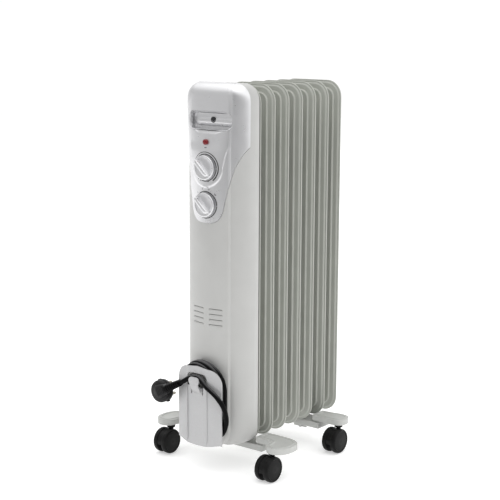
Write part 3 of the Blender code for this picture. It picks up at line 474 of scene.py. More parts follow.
def make_plug():
    along = Vector((math.cos(PLUG_TILT), 0, math.sin(PLUG_TILT)))
    across = Vector((-along.z, 0, along.x))
    depth, radius = 0.0190, 0.0185
    face = [(0, -0.0001), (0.0080, 0.0), (0.0088, 0.0006), (radius - 0.0046, 0.0008),
            (radius - 0.0030, 0.0012), (radius - 0.0012, 0.0024), (radius - 0.0002, 0.0044),
            (radius, 0.0060), (radius, 0.0098), (radius - 0.0007, 0.0102), (radius - 0.0007, 0.0114),
            (radius, 0.0118), (radius, depth - 0.0024), (radius - 0.0008, depth - 0.0008),
            (radius - 0.0024, depth), (0.0168, depth), (0.0150, depth - 0.0006), (0, depth - 0.0006)]
    parts = [lathe(face, PLUG_CENTRE, (0, 1, 0), 72)]
    loops = []
    for s, half, front, back in ((0.0020, 0.0110, -0.0052, 0.0110), (0.0070, 0.0106, -0.0055, 0.0110),
                                 (0.0120, 0.0098, -0.0055, 0.0108), (0.0165, 0.0086, -0.0052, 0.0098),
                                 (0.0200, 0.0074, -0.0046, 0.0088), (0.0212, 0.0066, -0.0040, 0.0080)):
        outline = rounded((-half, front), (half, back), 0.0042, 6)
        loops.append([PLUG_CENTRE + along * s + across * a + Vector((0, b, 0)) for a, b in outline])
    parts.append(loops_mesh(loops))
    for i in range(5):
        s = 0.0030 + 0.0032 * i
        low = PLUG_CENTRE + along * s + Vector((0, -0.0061, 0))
        bar = [low + across * a + along * b + Vector((0, c, 0))
               for a in (-0.0062, 0.0062) for b in (0, 0.0014) for c in (0, 0.0012)]
        order = ((0, 1, 3, 2), (4, 6, 7, 5), (0, 4, 5, 1), (2, 3, 7, 6), (0, 2, 6, 4), (1, 5, 7, 3))
        parts.append(outward(mesh_of(bar, order)))
    for side in (1, -1):
        low = PLUG_CENTRE + across * side * (radius - 0.0006)
        parts.append(block(low + Vector((-0.0028, 0.0122, -0.0014)), low + Vector((0.0028, 0.0184, 0.0014)),
                           0.0004))
    body = piece("plug_shell", joined(*parts), PLUG, replaces="plug_body")
    root = PLUG_CENTRE + along * RELIEF_ROOT
    reach = Vector(CORD_ROUTE[-1]) - along * 0.0006 - root
    relief = ribbed_relief(root, reach.normalized(), reach.length + 0.001, 0.0069, 0.0056, 7, 0.0074)
    strain = piece("plug_relief", relief, VINYL, replaces="plug_strain_relief", angle=30)
    pins = []
    for i, side in enumerate((-1, 1)):
        base = PLUG_CENTRE + across * side * PIN_SPREAD + Vector((0, depth + 0.0002, 0))
        profile = [(0, 0), (0.0024, 0), (0.0024, 0.0170), (0.0022, 0.0180), (0.0016, 0.0187),
                   (0.0008, 0.0190), (0, 0.0190)]
        pins.append(piece(f"plug_contact_{i + 1}", lathe(profile, base, (0, 1, 0), 24), NICKEL,
                          replaces=f"plug_pin_{i + 1}"))
    return [body, strain, *pins]


def make_gland():
    block_mesh = block((GLAND_X - 0.0030, GLAND_Y - 0.0040, GLAND_TOP - 0.0155),
                       (GLAND_X + 0.0034, GLAND_REAR_Y, GLAND_TOP), 0.0012)
    relief = ribbed_relief((GLAND_X, GLAND_Y, GLAND_TOP - 0.0145), (0, 0, -1), 0.0255, 0.0046, 0.0041, 7,
                           0.0046)
    piece("gland_boot", joined(block_mesh, relief), PLUG, replaces="cord_gland")


cord, cord_length = make_cord()
plug_pieces = make_plug()
make_gland()


# ---- refined copies -------------------------------------------------------------------------------
def refined(node, name, look, width, extra=(), body="root", segments=2, flat=1.0, angle=30.0,
            work=None):
    """The node's own outline with its triangles merged into whole faces, softened edges and details."""
    source = bpy.data.objects[node]
    bm = bmesh.new()
    bm.from_mesh(source.data)
    bmesh.ops.transform(bm, matrix=source.matrix_world, verts=bm.verts)
    bmesh.ops.remove_doubles(bm, verts=bm.verts, dist=1e-5)
    bmesh.ops.dissolve_limit(bm, angle_limit=math.radians(flat), verts=bm.verts, edges=bm.edges)
    if work:
        work(bm)
    mesh = written(bm, bpy.data.meshes.new(name))
    made = piece(name, joined(mesh, *extra) if extra else mesh, look, body, node, angle)
    edges = made.modifiers.new("edges", "BEVEL")
    edges.width, edges.segments, edges.harden_normals = width, segments, False
    edges.limit_method, edges.angle_limit = "ANGLE", math.radians(angle)


# ---- fins -----------------------------------------------------------------------------------------
FIN_HALF_WIDTH, FIN_LOW, FIN_HIGH, FIN_CORNER = 0.063, 0.0448, 0.622, 0.028
FIN_FIRST_Y, FIN_PITCH, FIN_COUNT = -0.068, 0.036, 7
HEADER_HEIGHTS = (0.0968, 0.5700)
FLUTE_PITCH, FLUTE_DEPTH, HEADER_RISE = 0.022, 0.0017, 0.0122
END_BOSS = 0.0095  # how far the last fin's closed headers stand out at the back


def inset_loop(depth):
    """The fin's outline moved inward by a depth, always with the same number of corners."""
    radius = max(FIN_CORNER - depth, 0.004)
    return rounded((-FIN_HALF_WIDTH + depth, FIN_LOW + depth), (FIN_HALF_WIDTH - depth, FIN_HIGH - depth),
                   radius, 8)


def sheet_height(x, z):
    """How far the pressed sheet stands off the middle plane inside the stepped border."""
    half, low, high, flat = 0.0440, 0.1250, 0.5300, 0.0055
    inside = min(half - abs(x), z - low, high - z)
    flute = 0.5 - 0.5 * math.cos(2 * math.pi * (x + half) / FLUTE_PITCH)
    height = flat - FLUTE_DEPTH * smoothstep(inside / 0.004) * (1 - flute)
    for centre in HEADER_HEIGHTS:
        away = math.hypot(x, z - centre)
        height = max(height, flat + HEADER_RISE * (1 - smoothstep((away - 0.0215) / 0.0030)))
        if away < 0.034:
            height = max(height, flat)
    return height


def off_headers(x, z):
    return min(math.hypot(x, z - c) for c in HEADER_HEIGHTS) > 0.0285


def fin_mesh():
    """A fin's two skins: a border given as (depth, height) steps, then the pressed sheet inside it."""
    borders = [(0.0, 0.0), (0.0, 0.0004), (0.00022, 0.00092), (0.0007, 0.0012), (0.0021, 0.0012),
               (0.0025, 0.0011), (0.0029, 0.0013), (0.0036, 0.0021), (0.0043, 0.0028), (0.0050, 0.0031),
               (0.0060, 0.0032), (0.0112, 0.0032), (0.0120, 0.0033), (0.0125, 0.0037), (0.0128, 0.0047),
               (0.0131, 0.0057), (0.0136, 0.0062), (0.0145, 0.0062), (0.0158, 0.0058), (0.0178, 0.0055),
               (0.0200, 0.0055)]
    loops = [inset_loop(depth) for depth, _ in borders]
    count = len(loops[0])
    flat = [p for loop in loops for p in loop]
    heights = [h for _, h in borders for _ in range(count)]
    faces = ring_faces(len(loops), count)
    inner = loops[-1]
    start = len(flat) - count
    border = borders[-1][0]
    half, low, high = FIN_HALF_WIDTH - border, FIN_LOW + border, FIN_HIGH - border
    xs = np.arange(-half + 0.0018, half - 0.001, 0.00272)
    zs = np.arange(low + 0.004, high - 0.003, 0.0095)
    spots = [(float(x), float(z)) for x in xs for z in zs if off_headers(x, z)]
    for z in (0.1255, 0.1272, 0.1290, 0.5262, 0.5280, 0.5296):
        spots += [(float(x), z) for x in xs if off_headers(x, z)]
    for c in HEADER_HEIGHTS:
        for i, r in enumerate((0.0212, 0.0222, 0.0232, 0.0242, 0.0250, 0.0270)):
            spots += [(r * math.cos(a), c + r * math.sin(a)) for a in whole_turn(48, 0.5 * (i % 2))]
        spots += [(0.0120 * math.cos(a), c + 0.0120 * math.sin(a)) for a in whole_turn(16)] + [(0.0, c)]
    everything = [Vector(p) for p in inner] + [Vector(p) for p in spots]
    edges = [(i, (i + 1) % count) for i in range(count)]
    points, _, triangles, origin, _, _ = delaunay_2d_cdt(everything, edges, [], 1, 1e-7)
    index = {}
    for i, (p, source) in enumerate(zip(points, origin)):
        if source and source[0] < count:
            index[i] = start + source[0]
        else:
            index[i] = len(flat)
            flat.append((p.x, p.y))
            heights.append(sheet_height(p.x, p.y))
    faces += [tuple(index[i] for i in t) for t in triangles]
    total = len(flat)
    front = [(x, -h, z) for (x, z), h in zip(flat, heights)]
    back = [(x, h, z) for (x, z), h in zip(flat, heights)]
    both = faces + [tuple(i + total for i in reversed(f)) for f in faces]
    return outward(mesh_of(front + back, both))


def make_fins():
    base = fin_mesh()
    for i in range(FIN_COUNT):
        mesh = base.copy()
        if i == FIN_COUNT - 1:
            for v in mesh.vertices:
                v.co.y = min(v.co.y, END_BOSS)
        mesh.transform(Matrix.Translation((0, FIN_FIRST_Y + FIN_PITCH * i, 0)))
        piece(f"radiator_fin_{i + 1}", mesh, FIN_PAINT, replaces=f"fin_{i + 1}", angle=60)


# ---- knobs and lamp ---------------------------------------------------------------------------------
THERMOSTAT_Z, SELECTOR_Z = 0.4945, 0.4360
LAMP_Y, LAMP_Z = -0.1288, 0.5345
KNOB_BASE_Y, KNOB_RADIUS = -0.1295, 0.0196
KNOB_TURN = math.radians(46)


def knob_bar(z):
    """A tall grip bar that narrows towards its top and its two ends, lofted along its length."""
    loops = []
    for s in np.linspace(-1, 1, 25):
        end = math.sqrt(max(0.0, 1 - abs(s) ** 6))
        half = 0.0010 + 0.0026 * end
        top = 0.0040 + 0.0085 * (0.35 + 0.65 * end)
        section = [(half, -0.0005), (half * 0.98, 0.0040), (half * 0.90, top - 0.0014),
                   (half * 0.72, top - 0.0004), (half * 0.40, top), (-half * 0.40, top),
                   (-half * 0.72, top - 0.0004), (-half * 0.90, top - 0.0014), (-half * 0.98, 0.0040),
                   (-half, -0.0005)]
        loops.append([(a, KNOB_BASE_Y - b, s * (KNOB_RADIUS - 0.0020)) for a, b in section])
    mesh = loops_mesh(loops)
    mesh.transform(Matrix.Translation((0, 0, z)) @ Matrix.Rotation(-KNOB_TURN, 4, "Y"))
    return mesh


def make_knob(name, z):
    r = KNOB_RADIUS
    profile = [(0, -0.0001), (r - 0.0012, -0.0001), (r - 0.0002, 0.0004), (r, 0.0012), (r - 0.0002, 0.0026),
               (r - 0.0008, 0.0033), (r - 0.0018, 0.0036), (r - 0.0028, 0.0035), (r - 0.0036, 0.0030),
               (r - 0.0050, 0.0029), (0.0060, 0.0031), (0, 0.0032)]
    disc = lathe(profile, (0, KNOB_BASE_Y, z), (0, -1, 0), 96)
    ribs = []
    for a in whole_turn(60):
        spot = Vector(((r - 0.00025) * math.cos(a), KNOB_BASE_Y - 0.0017, z + (r - 0.00025) * math.sin(a)))
        rib = block((-0.00028, -0.0011, -0.0004), (0.00028, 0.0011, 0.0004))
        rib.transform(Matrix.Translation(spot) @ Matrix.Rotation(math.pi / 2 - a, 4, "Y"))
        ribs.append(rib)
    piece(f"{name}_dial_cap", joined(disc, knob_bar(z), *ribs), SILVER, f"{name}_dial", f"{name}_knob",
          35)


def make_lamp():
    profile = [(0.0000, 0.0022), (0.0018, 0.0021), (0.0032, 0.0016), (0.0041, 0.0007), (0.0044, -0.0006),
               (0.0044, -0.0060), (0, -0.0060)]
    piece("lamp_dome", lathe(profile, (0, LAMP_Y, LAMP_Z), (0, -1, 0), 40), LENS, replaces="lamp_lens",
          angle=30)


# ---- casters ------------------------------------------------------------------------------------------
WHEEL_RADIUS, WHEEL_WIDTH = 0.0208, 0.0092


def repaint(node, look):
    """A new finish for a solid that is shown as it is."""
    held = bpy.data.objects[node].data.materials
    held.clear()
    held.append(look)


def make_wheel(corner, side):
    node = f"{corner}_caster_{'left' if side < 0 else 'right'}_wheel"
    source = bpy.data.objects[node]
    box = [source.matrix_world @ Vector(c) for c in source.bound_box]
    inner = max(p.x for p in box) if side < 0 else min(p.x for p in box)
    r, w = WHEEL_RADIUS, WHEEL_WIDTH
    at = (inner, (min(p.y for p in box) + max(p.y for p in box)) / 2, r)
    profile = [(0, w - 0.0007), (0.0034, w - 0.0007), (0.0034, 0), (r - 0.0014, 0), (r - 0.0003, 0.0004),
               (r, 0.0014), (r, w - 0.0036), (r - 0.0003, w - 0.0022), (r - 0.0011, w - 0.0010),
               (r - 0.0022, w - 0.0004), (r - 0.0034, w - 0.0002), (r - 0.0038, w - 0.0006),
               (r - 0.0042, w - 0.0010), (r - 0.0060, w - 0.0008), (0.0090, w - 0.0004),
               (0.0045, w - 0.0002), (0, w - 0.0001)]
    wheel = lathe(profile, at, (side, 0, 0), 64)
    piece(f"{node}_tyre", wheel, BLACK, f"{corner}_caster_wheels", node, 35)


def make_casters():
    for corner in ("front_left", "front_right", "rear_left", "rear_right"):
        for side in (-1, 1):
            make_wheel(corner, side)
        refined(f"{corner}_caster_hood", f"{corner}_caster_cover", BLACK, 0.0008,
                body=f"{corner}_caster_fork")
        repaint(f"{corner}_caster_axle", STEEL)


# ---- feet and winder -----------------------------------------------------------------------------------
FOOT_TOP = 0.0565
RIB_LOW_Z, RIB_HIGH_Z, RIB_RADIUS, RIB_TIP = 0.0520, 0.1440, 0.0011, 0.0002


def emboss_pads(bm):
    """A raised rib that follows each pad's outline, pressed into its top face."""
    tops = [f for f in bm.faces if f.normal.z > 0.99 and abs(f.calc_center_median().z - FOOT_TOP) < 3e-4
            and f.calc_area() > 8e-4]
    for inward, up in ((0.0042, 0.0), (0.0006, 0.0009), (0.0013, 0.0), (0.0006, -0.0009)):
        bmesh.ops.inset_region(bm, faces=tops, thickness=inward, depth=up, use_even_offset=True)


def make_feet():
    for end in ("front", "rear"):
        refined(f"{end}_foot", f"{end}_foot_pressing", FOOT_PAINT, 0.0011, segments=3,
                flat=0.5, work=emboss_pads)


def make_winder():
    """The bent plate, with a rib along each of its two bends."""
    heights, radii = np.linspace(RIB_LOW_Z, RIB_HIGH_Z, 12), [RIB_TIP] + [RIB_RADIUS] * 10 + [RIB_TIP]
    ribs = [tube_mesh([(x, PLATE_Y - 0.0013, z) for z in heights], radii, 10)
            for x in (-PLATE_FLAT_X, PLATE_FLAT_X)]
    refined("winder_plate", "winder_plate_sheet", PLATE, 0.0005, angle=28, extra=ribs)


# ---- cover and control panel ----------------------------------------------------------------------
BOX_HALF_WIDTH, BOX_BOTTOM, BOX_TOP, BOX_REAR_Y = 0.066, 0.0450, 0.6246, -0.0758
BOX_FRONT_Y, FRONT_RADIUS, CREASE_X, CREASE_Y = -0.1264, 0.085, 0.038, -0.1140
TOP_SIDE_RADIUS, TOP_FRONT_RADIUS, BOTTOM_EDGE_RADIUS = 0.028, 0.018, 0.003
HEAD_START_Z, HEAD_FLATNESS = 0.500, 0.25
PANEL_PROUD, PANEL_WALL, PANEL_REAR_Y, POD_RISE = 0.0012, 0.0026, -0.0945, 0.0011
RECESS_HALF, RECESS_LOW, RECESS_HIGH = 0.0446, 0.5519, 0.5821
SHEET_WALL, PANEL_GAP, CUT_FRONT_Y = 0.0012, 0.0003, -0.2


def plan_half(lean, rear, fine):
    """Right half of the box in plan: front, crease, round corner and side. lean 0 is a flat front."""
    middle = BOX_FRONT_Y + FRONT_RADIUS
    points = []
    for x in np.linspace(0, CREASE_X, 38 if fine else 14):
        y = middle - math.sqrt(FRONT_RADIUS**2 - x**2)
        points.append((x, CREASE_Y + (y - CREASE_Y) * lean))
    keys = ((0.0405, CREASE_Y), (0.052, CREASE_Y + 0.0048 * lean), (0.064, -0.0965), (0.066, -0.084))
    for t in np.linspace(0, 1, 24 if fine else 14):
        weights = ((1 - t) ** 3, 3 * t * (1 - t) ** 2, 3 * t * t * (1 - t), t**3)
        points.append(tuple(sum(w * p[k] for w, p in zip(weights, keys)) for k in (0, 1)))
    return points + [(BOX_HALF_WIDTH, rear)]


def inset_at(height, edge, radius):
    """How far a rounded edge has drawn in at a height."""
    above = min(max(height - (edge - radius), 0), radius)
    return radius - math.sqrt(radius**2 - above**2)


def half_ring(z, grow, rear, fine):
    """Points of the grown outline at a height, with the directions that they face in plan."""
    flatter = smoothstep((z - HEAD_START_Z) / (BOX_TOP - HEAD_START_Z))
    half = plan_half(1 - (1 - HEAD_FLATNESS) * flatter, rear, fine)
    side = inset_at(z, BOX_TOP + grow, TOP_SIDE_RADIUS + grow)
    side += inset_at(-z, -BOX_BOTTOM + grow, TOP_SIDE_RADIUS + grow)
    front = inset_at(z, BOX_TOP + grow, TOP_FRONT_RADIUS + grow)
    front += inset_at(-z, -BOX_BOTTOM + grow, BOTTOM_EDGE_RADIUS + max(grow, 0))
    ring = []
    for i, (x, y) in enumerate(half):
        before = half[i - 1] if i else (-half[1][0], half[1][1])
        after = half[min(i + 1, len(half) - 1)]
        along = Vector((after[0] - before[0], after[1] - before[1])).normalized()
        out = Vector((along.y, -along.x)) if i < len(half) - 1 else Vector((1, 0))
        ring.append((x + out.x * (grow - side), y + out.y * (grow - front), out))
    return ring


def box_mesh(grow, rear, levels, fine=False, bump=None):
    """The box's skin, grown outward, through a ring at each level. bump raises its front."""
    loops = []
    for z in sorted(levels):
        ring = half_ring(z, grow, rear, fine)
        if bump:
            moved = []
            for x, y, out in ring:
                rise = bump(x, z) if y < PANEL_REAR_Y - 0.001 else 0.0
                moved.append((x + out.x * rise, y + out.y * rise))
            ring = moved
        ring = [point[:2] for point in ring]
        loops.append([(x, y, z) for x, y in reversed(ring)] + [(-x, y, z) for x, y in ring[1:]])
    return loops_mesh(loops)


def top_levels(grow, steps):
    """Heights of the rings that follow the round top."""
    high, radius = BOX_TOP + grow, TOP_SIDE_RADIUS + grow
    return [high - radius + radius * math.sin(math.pi / 2 * i / steps) for i in range(steps + 1)]


def bottom_levels(grow, steps):
    low, radius = BOX_BOTTOM - grow, TOP_SIDE_RADIUS + grow
    turned = [low + radius * (1 - math.cos(math.pi / 2 * i / steps)) for i in range(steps + 1)]
    return turned + [low + BOTTOM_EDGE_RADIUS * f for f in (0.15, 0.4, 0.7)]


def boolean(mesh, *steps):
    """The mesh after its cuts, given as pairs of an operation and a tool mesh."""
    made = linked("work", mesh)
    used = [made]
    for operation, tool in steps:
        step = made.modifiers.new("cut", "BOOLEAN")
        step.operation, step.solver, step.object = operation, "EXACT", linked("tool", tool)
        used.append(step.object)
    bpy.context.view_layer.update()
    result = bpy.data.meshes.new_from_object(made.evaluated_get(bpy.context.evaluated_depsgraph_get()))
    for one in used:
        bpy.data.objects.remove(one)
    result.materials.clear()
    return result


def mirrored(half):
    return half + [(-x, z) for x, z in reversed(half) if x > 1e-9]


def panel_outline(margin):
    keys = [
        (0, 0.4072), (0.0130, 0.4082), (0.0235, 0.4140), (0.0300, 0.4260), (0.0335, 0.4430),
        (0.0376, 0.4612), (0.0415, 0.4790), (0.0468, 0.4960), (0.0540, 0.5120), (0.0610, 0.5250),
        (0.0700, 0.5400),
    ]
    curve = [(p.x, p.y) for p in smooth_path([(x, z, 0) for x, z in keys], 8)]
    grown = []
    for i, (x, z) in enumerate(curve):
        a, b = curve[max(i - 1, 0)], curve[min(i + 1, len(curve) - 1)]
        along = Vector((b[0] - a[0], b[1] - a[1])).normalized()
        grown.append((x + along.y * margin if i else 0, z - along.x * margin))
    return mirrored(grown + [(0.09, curve[-1][1] - margin), (0.09, 0.66), (0, 0.66)])


POD_RADIUS = 0.0305  # round the thermostat's centre
POD_KEYS = ((THERMOSTAT_Z, POD_RADIUS), (0.5120, 0.0340), (0.5320, 0.0392), (0.5455, 0.0405))
POD_FADE_Z, POD_FADE = 0.5190, 0.0160
SCOOP_LOW_Z, SCOOP_HIGH_Z, SCOOP_HALF, SCOOP_FLARE, SCOOP_DEPTH = 0.5462, 0.5560, 0.0135, 2.6, 0.0014


def pod_rise(x, z):
    """The raised pod round the thermostat and lamp, and the scoop under the recess."""
    x = abs(x)
    if z < THERMOSTAT_Z:
        inside = POD_RADIUS - math.hypot(x, z - THERMOSTAT_Z)
    else:
        half = float(np.interp(z, [k[0] for k in POD_KEYS], [k[1] for k in POD_KEYS]))
        inside = min((half - x) * 0.95, 0.5500 - z)
    rise = POD_RISE * smoothstep(inside / 0.0016 + 0.5) * (1 - smoothstep((z - POD_FADE_Z) / POD_FADE))
    above = z - SCOOP_LOW_Z
    scoop = smoothstep(min((SCOOP_HALF + above * SCOOP_FLARE - x) / 0.003, above / 0.0052))
    return rise - SCOOP_DEPTH * scoop * (z < SCOOP_HIGH_Z)


def skin_y(x, z, grow):
    """Where the grown front surface lies at a point in front view."""
    ring = half_ring(z, grow, BOX_REAR_Y, True)
    return float(np.interp(abs(x), [p[0] for p in ring], [p[1] for p in ring]))


VENT_ROWS, VENT_LOW_Z, VENT_PITCH = 4, 0.2430, 0.0085
VENT_HALF, VENT_INNER_X, VENT_OUTER_X = 0.0016, 0.0055, 0.0296
VENT_FRONT_Y, VENT_BACK_Y = -0.135, -0.105


def make_cover():
    """The sheet cover with its louvres, the panel's opening and the cord's outlet."""
    levels = bottom_levels(0, 10) + [0.12, 0.2, 0.3, 0.4] + list(np.arange(0.5, 0.5966, 0.008))
    shell = box_mesh(0, BOX_REAR_Y, levels + top_levels(0, 12))
    hollow = box_mesh(-SHEET_WALL, BOX_REAR_Y + 0.02, bottom_levels(-SHEET_WALL, 8) + [0.3, 0.5, 0.55]
                      + top_levels(-SHEET_WALL, 8))
    slots, blades = [], []
    for side in (-1, 1):
        for row in range(VENT_ROWS):
            z = VENT_LOW_Z + VENT_PITCH * row
            low, high = sorted((side * VENT_INNER_X, side * VENT_OUTER_X))
            slots.append(rounded((low, z - VENT_HALF), (high, z + VENT_HALF), VENT_HALF - 0.0001, 5))
            xs = np.linspace(low + 0.0004, high - 0.0004, 15)
            loops = []
            for x in xs:
                y = skin_y(x, z, 0)
                pinch = min(1.0, (min(x - low, high - x) + 0.0004) / 0.0016)
                rise, depth = 0.0011 * pinch, 0.0010
                loops.append([(x, y + 0.0003, z - VENT_HALF * pinch - 0.0002), (x, y - 0.0001, z - rise),
                              (x, y + 0.0004, z + rise * 0.55), (x, y + 0.0004 + depth, z + rise * 0.55),
                              (x, y + 0.0002 + depth, z - VENT_HALF * pinch - 0.0002)])
            blades.append(loops_mesh(loops))
    hole = tube_mesh([(GLAND_X - 0.0008, y, GLAND_TOP - 0.0105) for y in (-0.130, -0.105)],
                     [CORD_DIAMETER / 2 + 0.0002] * 2, 24)
    skin = boolean(shell, ("DIFFERENCE", hollow),
                   ("DIFFERENCE", slab(panel_outline(PANEL_GAP), CUT_FRONT_Y, PANEL_REAR_Y + PANEL_GAP)),
                   ("DIFFERENCE", joined(*[slab(o, VENT_FRONT_Y, VENT_BACK_Y) for o in slots])),
                   ("DIFFERENCE", hole))
    piece("cover_sheet", joined(skin, *blades), BOX_PAINT, replaces="front_cover", angle=22)


def decal(outline, grow):
    """A thin shape that follows the panel's front, from its outline in front view. It draws both the printed
    marks and the rings of painted shade round the knobs.
    """
    points = [Vector(p) for p in outline]
    low = Vector((min(p.x for p in points), min(p.y for p in points)))
    high = Vector((max(p.x for p in points), max(p.y for p in points)))
    count = len(points)
    everything = list(points)
    edges = [(i, (i + 1) % count) for i in range(count)]
    for x in np.arange(low.x + 0.0007, high.x, 0.0015):
        for z in np.arange(low.y + 0.0007, high.y, 0.0015):
            everything.append(Vector((x, z)))
    spots, _, faces, _, _, _ = delaunay_2d_cdt(everything, edges, [], 1, 1e-7)
    base = [(p.x, skin_y(p.x, p.y, grow) - pod_rise(p.x, p.y), p.y) for p in spots]
    used = sorted({i for f in faces for i in f})
    index = {k: i for i, k in enumerate(used)}
    front = [(base[k][0], base[k][1] - 0.00008, base[k][2]) for k in used]
    back = [(base[k][0], base[k][1] + 0.0001, base[k][2]) for k in used]
    total = len(used)
    made = [tuple(index[i] for i in f) for f in faces]
    rim = {}
    for f in made:
        for a, b in zip(f, f[1:] + f[:1]):
            rim[(a, b)] = (b, a) not in rim
            if (b, a) in rim:
                rim[(b, a)] = rim[(a, b)] = False
    sides = [(a, b, b + total, a + total) for (a, b), open_edge in rim.items() if open_edge]
    rear = [tuple(i + total for i in reversed(f)) for f in made]
    return outward(mesh_of(front + back, made + rear + sides))


def arc_band(z, inner, outer, first, last, taper=1.0):
    """A band round a dial. Its width starts at the share of the full width that taper gives."""
    steps = max(12, int(abs(last - first) / 4))
    middle = (inner + outer) / 2
    outside, inside = [], []
    for i in range(steps + 1):
        a = math.radians(first + (last - first) * i / steps)
        half = (outer - inner) * (taper + (1 - taper) * i / steps) / 2
        for side, r in ((outside, middle + half), (inside, middle - half)):
            side.append((r * math.cos(a), z + r * math.sin(a)))
    return outside + inside[::-1]


def tick(z, radius, angle, half_width, length):
    """A short mark that points away from a dial's centre."""
    a = math.radians(angle)
    out, side = Vector((math.cos(a), math.sin(a))), Vector((-math.sin(a), math.cos(a)))
    at = Vector((0, z)) + out * radius
    return [tuple(at + out * u + side * v) for u, v in
            ((0, -half_width), (length, -half_width), (length, half_width), (0, half_width))]


# the first pair is a black ring of painted shade round each knob, standing in for the shadow of the gap
# under the knob's rim
KNOB_SHADE_RING, HEAT_SCALE = (0.0204, 0.0218), (0.0234, 0.0255)  # inner and outer radius


def make_panel():
    """The moulded panel with its pod, scoop and window, the marks printed on it, and a black ring of painted
    shade round each knob.
    """
    levels = [0.4040, 0.4200, 0.4350, 0.4500, 0.4580] + list(np.arange(0.4600, 0.5600, 0.00125))
    levels += list(np.arange(0.5620, 0.5970, 0.003)) + top_levels(PANEL_PROUD, 14)
    shell = box_mesh(PANEL_PROUD, BOX_REAR_Y, levels, True, pod_rise)
    inner = PANEL_PROUD - PANEL_WALL
    hollow = box_mesh(inner, BOX_REAR_Y + 0.02, [0.39, 0.45, 0.5, 0.53, 0.56, 0.58] + top_levels(inner, 8))
    window = rounded((-RECESS_HALF, RECESS_LOW), (RECESS_HALF, RECESS_HIGH), 0.0127, 10)
    skin = boolean(shell, ("DIFFERENCE", hollow), ("DIFFERENCE", slab(window, CUT_FRONT_Y, -0.05)),
                   ("INTERSECT", slab(panel_outline(0), CUT_FRONT_Y, PANEL_REAR_Y)))
    piece("panel_moulding", skin, SILVER, replaces="control_panel", angle=26)
    # full black rings round both knobs: painted shade of the gap under each knob's rim
    prints_and_shade_rings = [arc_band(z, *KNOB_SHADE_RING, 0, 357) for z in (THERMOSTAT_Z, SELECTOR_Z)]
    prints_and_shade_rings.append(arc_band(THERMOSTAT_Z, *HEAT_SCALE, 205, -52, 0.15))
    for angle in (232, 244):
        prints_and_shade_rings.append(tick(THERMOSTAT_Z, 0.0225, angle, 0.0005, 0.0016))
    prints_and_shade_rings.append(tick(THERMOSTAT_Z, 0.0222, -72, 0.0016, 0.0009))
    for angle, marks in ((133, (0,)), (103, (0,)), (75, (-2, 2)), (43, (-3, 0, 3))):
        prints_and_shade_rings += [tick(SELECTOR_Z, 0.0240, angle + m, 0.00035, 0.0022) for m in marks]
    prints_and_shade_rings.append([(x * 0.0022, LAMP_Z - 0.0088 + y * 0.0005)
                   for x, y in ((-1, -1), (1, -1), (1, 1), (-1, 1))])
    pieces = [decal(o, PANEL_PROUD) for o in prints_and_shade_rings]
    piece("panel_print_and_shade_rings", joined(*pieces), PRINT_AND_SHADE_BLACK, angle=60)


TRAY_HALF, TRAY_LOW, TRAY_HIGH = 0.0425, 0.5540, 0.5800
TRAY_FLOOR_Y, HUMP_ROOT = -0.1040, 0.0008
HUMP_FLAT_X, HUMP_END_X, HUMP_Z = 0.0305, 0.0395, 0.5676
SCREW_SEAT_AT = (0, -0.1086, 0.568)


def make_tray():
    """The tray in the panel's window with its hump, and the dished seat of its screw, dark as painted shade
    of the screw's hole.
    """
    loops = []
    for margin, behind, on_skin in ((0.0018, 0.0018, False), (0.0018, 0.0005, True), (0.0014, 0.0001, True),
                                    (0.0006, 0.0001, True), (0.0, 0.0012, True), (0.0, 0.0, False)):
        outline = rounded((-TRAY_HALF - margin, TRAY_LOW - margin), (TRAY_HALF + margin, TRAY_HIGH + margin),
                          0.011 + margin * 0.8, 12)
        loops.append([(x, (skin_y(x, z, PANEL_PROUD) if on_skin else TRAY_FLOOR_Y) + behind, z)
                      for x, z in outline])
    floor = TRAY_FLOOR_Y
    section = [(floor + HUMP_ROOT, 0.5786), (floor - 0.0028, 0.5784), (floor - 0.0036, 0.5778)]
    section += arc((floor + 0.006, 0.5655), 0.0105, 148, 215, 16) + [(floor + HUMP_ROOT, 0.5572)]
    end = np.linspace(HUMP_FLAT_X, HUMP_END_X, 10)
    hump = []
    for x in np.concatenate([-end[::-1], np.linspace(-0.029, 0.029, 8), end]):
        over = max(0.0, (abs(x) - HUMP_FLAT_X) / 0.0092)
        pinch = math.sqrt(max(0.02, 1 - over * over))
        hump.append([(x, floor + (y - floor) * (0.4 + 0.6 * pinch), HUMP_Z + (z - HUMP_Z) * pinch)
                     for y, z in section])
    piece("grip_tray", joined(loops_mesh(loops), loops_mesh(hump)), SILVER, replaces="grip_insert",
          angle=45)
    # a dark disc under the screw: painted shade of its hole
    seat = [(0, -0.0006), (0.0030, -0.0004), (0.0041, 0.0002), (0.0046, 0.0003), (0.0048, 0.0001),
            (0.0048, -0.0010), (0, -0.0010)]
    piece("screw_seat", lathe(seat, SCREW_SEAT_AT, (0, -1, 0), 40), SCREW_HOLE_SHADE,
          angle=50)


make_cover()
make_panel()
make_tray()
make_fins()
make_knob("thermostat", THERMOSTAT_Z)
make_knob("selector", SELECTOR_Z)
make_lamp()
make_casters()
make_feet()
make_winder()

CARRIED = (
    (BOX_PAINT, ("winder_drum",)),
    # the screw is darkened as painted shade of its hole
    (SCREW_HOLE_SHADE, ("grip_screw",)),
    (PALE, ("lamp_holder", "thermostat_body", "selector_switch", "thermal_cutout")),
    (BLACK, ("tilt_switch",)),
    (SHEET, ("back_plate",)),
    (STEEL, ("element_flange", "oil_filler_plug", "heating_element_1", "heating_element_2",
             "thermostat_shaft", "selector_shaft")),
    (STEEL, ("front_u_bolt", "front_wing_nut_1", "front_wing_nut_2")),
    (STEEL, ("rear_u_bolt", "rear_wing_nut_1", "rear_wing_nut_2")),
)
for look, nodes in CARRIED:
    for node in nodes:
        repaint(node, look)


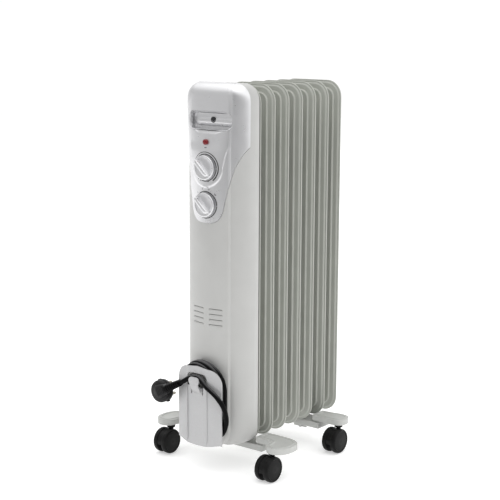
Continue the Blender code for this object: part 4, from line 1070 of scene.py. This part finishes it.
# ---- light and floor ----------------------------------------------------------------------------
FLOOR_SPAN = (0.55, 2.2)  # how far in front of the heater the floor's glow and tone change
FLOOR_AWAY = (0.25, -0.97, 0)
# the floor's glow near the heater is painted light that lightens the heater's shadow on the floor; it fades
# out further away
FLOOR_SHADOW_FILL_GLOW, FLOOR_TONE = (0.42, 0.0), (0.80, 0.32)
WORLD_BASE = 1.05
WORLD_LOBES = (  # direction, span of the angle's cosine, strength outside and inside the lobe
    ((0.62, -0.78, 0.0), (0.60, 0.95), 1.0, 0.38),
    ((-0.75, -0.65, -0.05), (0.0, 1.0), 1.0, 0.60),
    ((-0.28, -0.15, 1.0), (0.62, 0.95), 1.0, 1.8),
    ((0.80, -0.25, 0.55), (0.60, 0.98), 1.0, 1.4),
)


def faded(tree, source, direction, span, low, high):
    """A value that changes smoothly with how far the source lies along a direction."""
    dot = add_node(tree, "ShaderNodeVectorMath", {}, operation="DOT_PRODUCT")
    dot.inputs[1].default_value = direction
    tree.links.new(source, dot.inputs[0])
    return ranged(tree, dot.outputs["Value"], span, low, high, "SMOOTHSTEP")


def make_floor():
    floor = linked("floor", mesh_of([(-6, -6, 0), (6, -6, 0), (6, 6, 0), (-6, 6, 0)], [(0, 1, 2, 3)]))
    look = finish_of("floor_paper", (0.80, 0.80, 0.80), 0.8, grain=0.02, grain_size=0.002, mottle=0.005,
                     specular=0.0)
    tree = look.node_tree
    shader = tree.nodes["Principled BSDF"]
    spot = tree.nodes.new("ShaderNodeTexCoord").outputs["Object"]
    for key, ends in (("Emission Strength", FLOOR_SHADOW_FILL_GLOW), ("Base Color", FLOOR_TONE)):
        tree.links.new(faded(tree, spot, FLOOR_AWAY, FLOOR_SPAN, *ends), shader.inputs[key])
    shader.inputs["Emission Color"].default_value = (1, 1, 1, 1)
    floor.data.materials.append(look)


def make_world():
    world = bpy.data.worlds.new("studio")
    bpy.context.scene.world = world
    world.use_nodes = True
    tree = world.node_tree
    place = tree.nodes.new("ShaderNodeTexCoord").outputs["Generated"]
    base = tree.nodes.new("ShaderNodeValue")
    base.outputs[0].default_value = WORLD_BASE
    strength = base.outputs[0]
    for direction, span, low, high in WORLD_LOBES:
        lobe = faded(tree, place, Vector(direction).normalized(), span, low, high)
        times = add_node(tree, "ShaderNodeMath", {}, operation="MULTIPLY")
        tree.links.new(strength, times.inputs[0])
        tree.links.new(lobe, times.inputs[1])
        strength = times.outputs["Value"]
    tree.links.new(strength, tree.nodes["Background"].inputs["Strength"])
    tree.nodes["Background"].inputs["Color"].default_value = (1, 1, 1, 1)
    bpy.context.scene.view_settings.view_transform = "Standard"
    bpy.context.scene.view_settings.look = "None"


make_floor()
make_world()
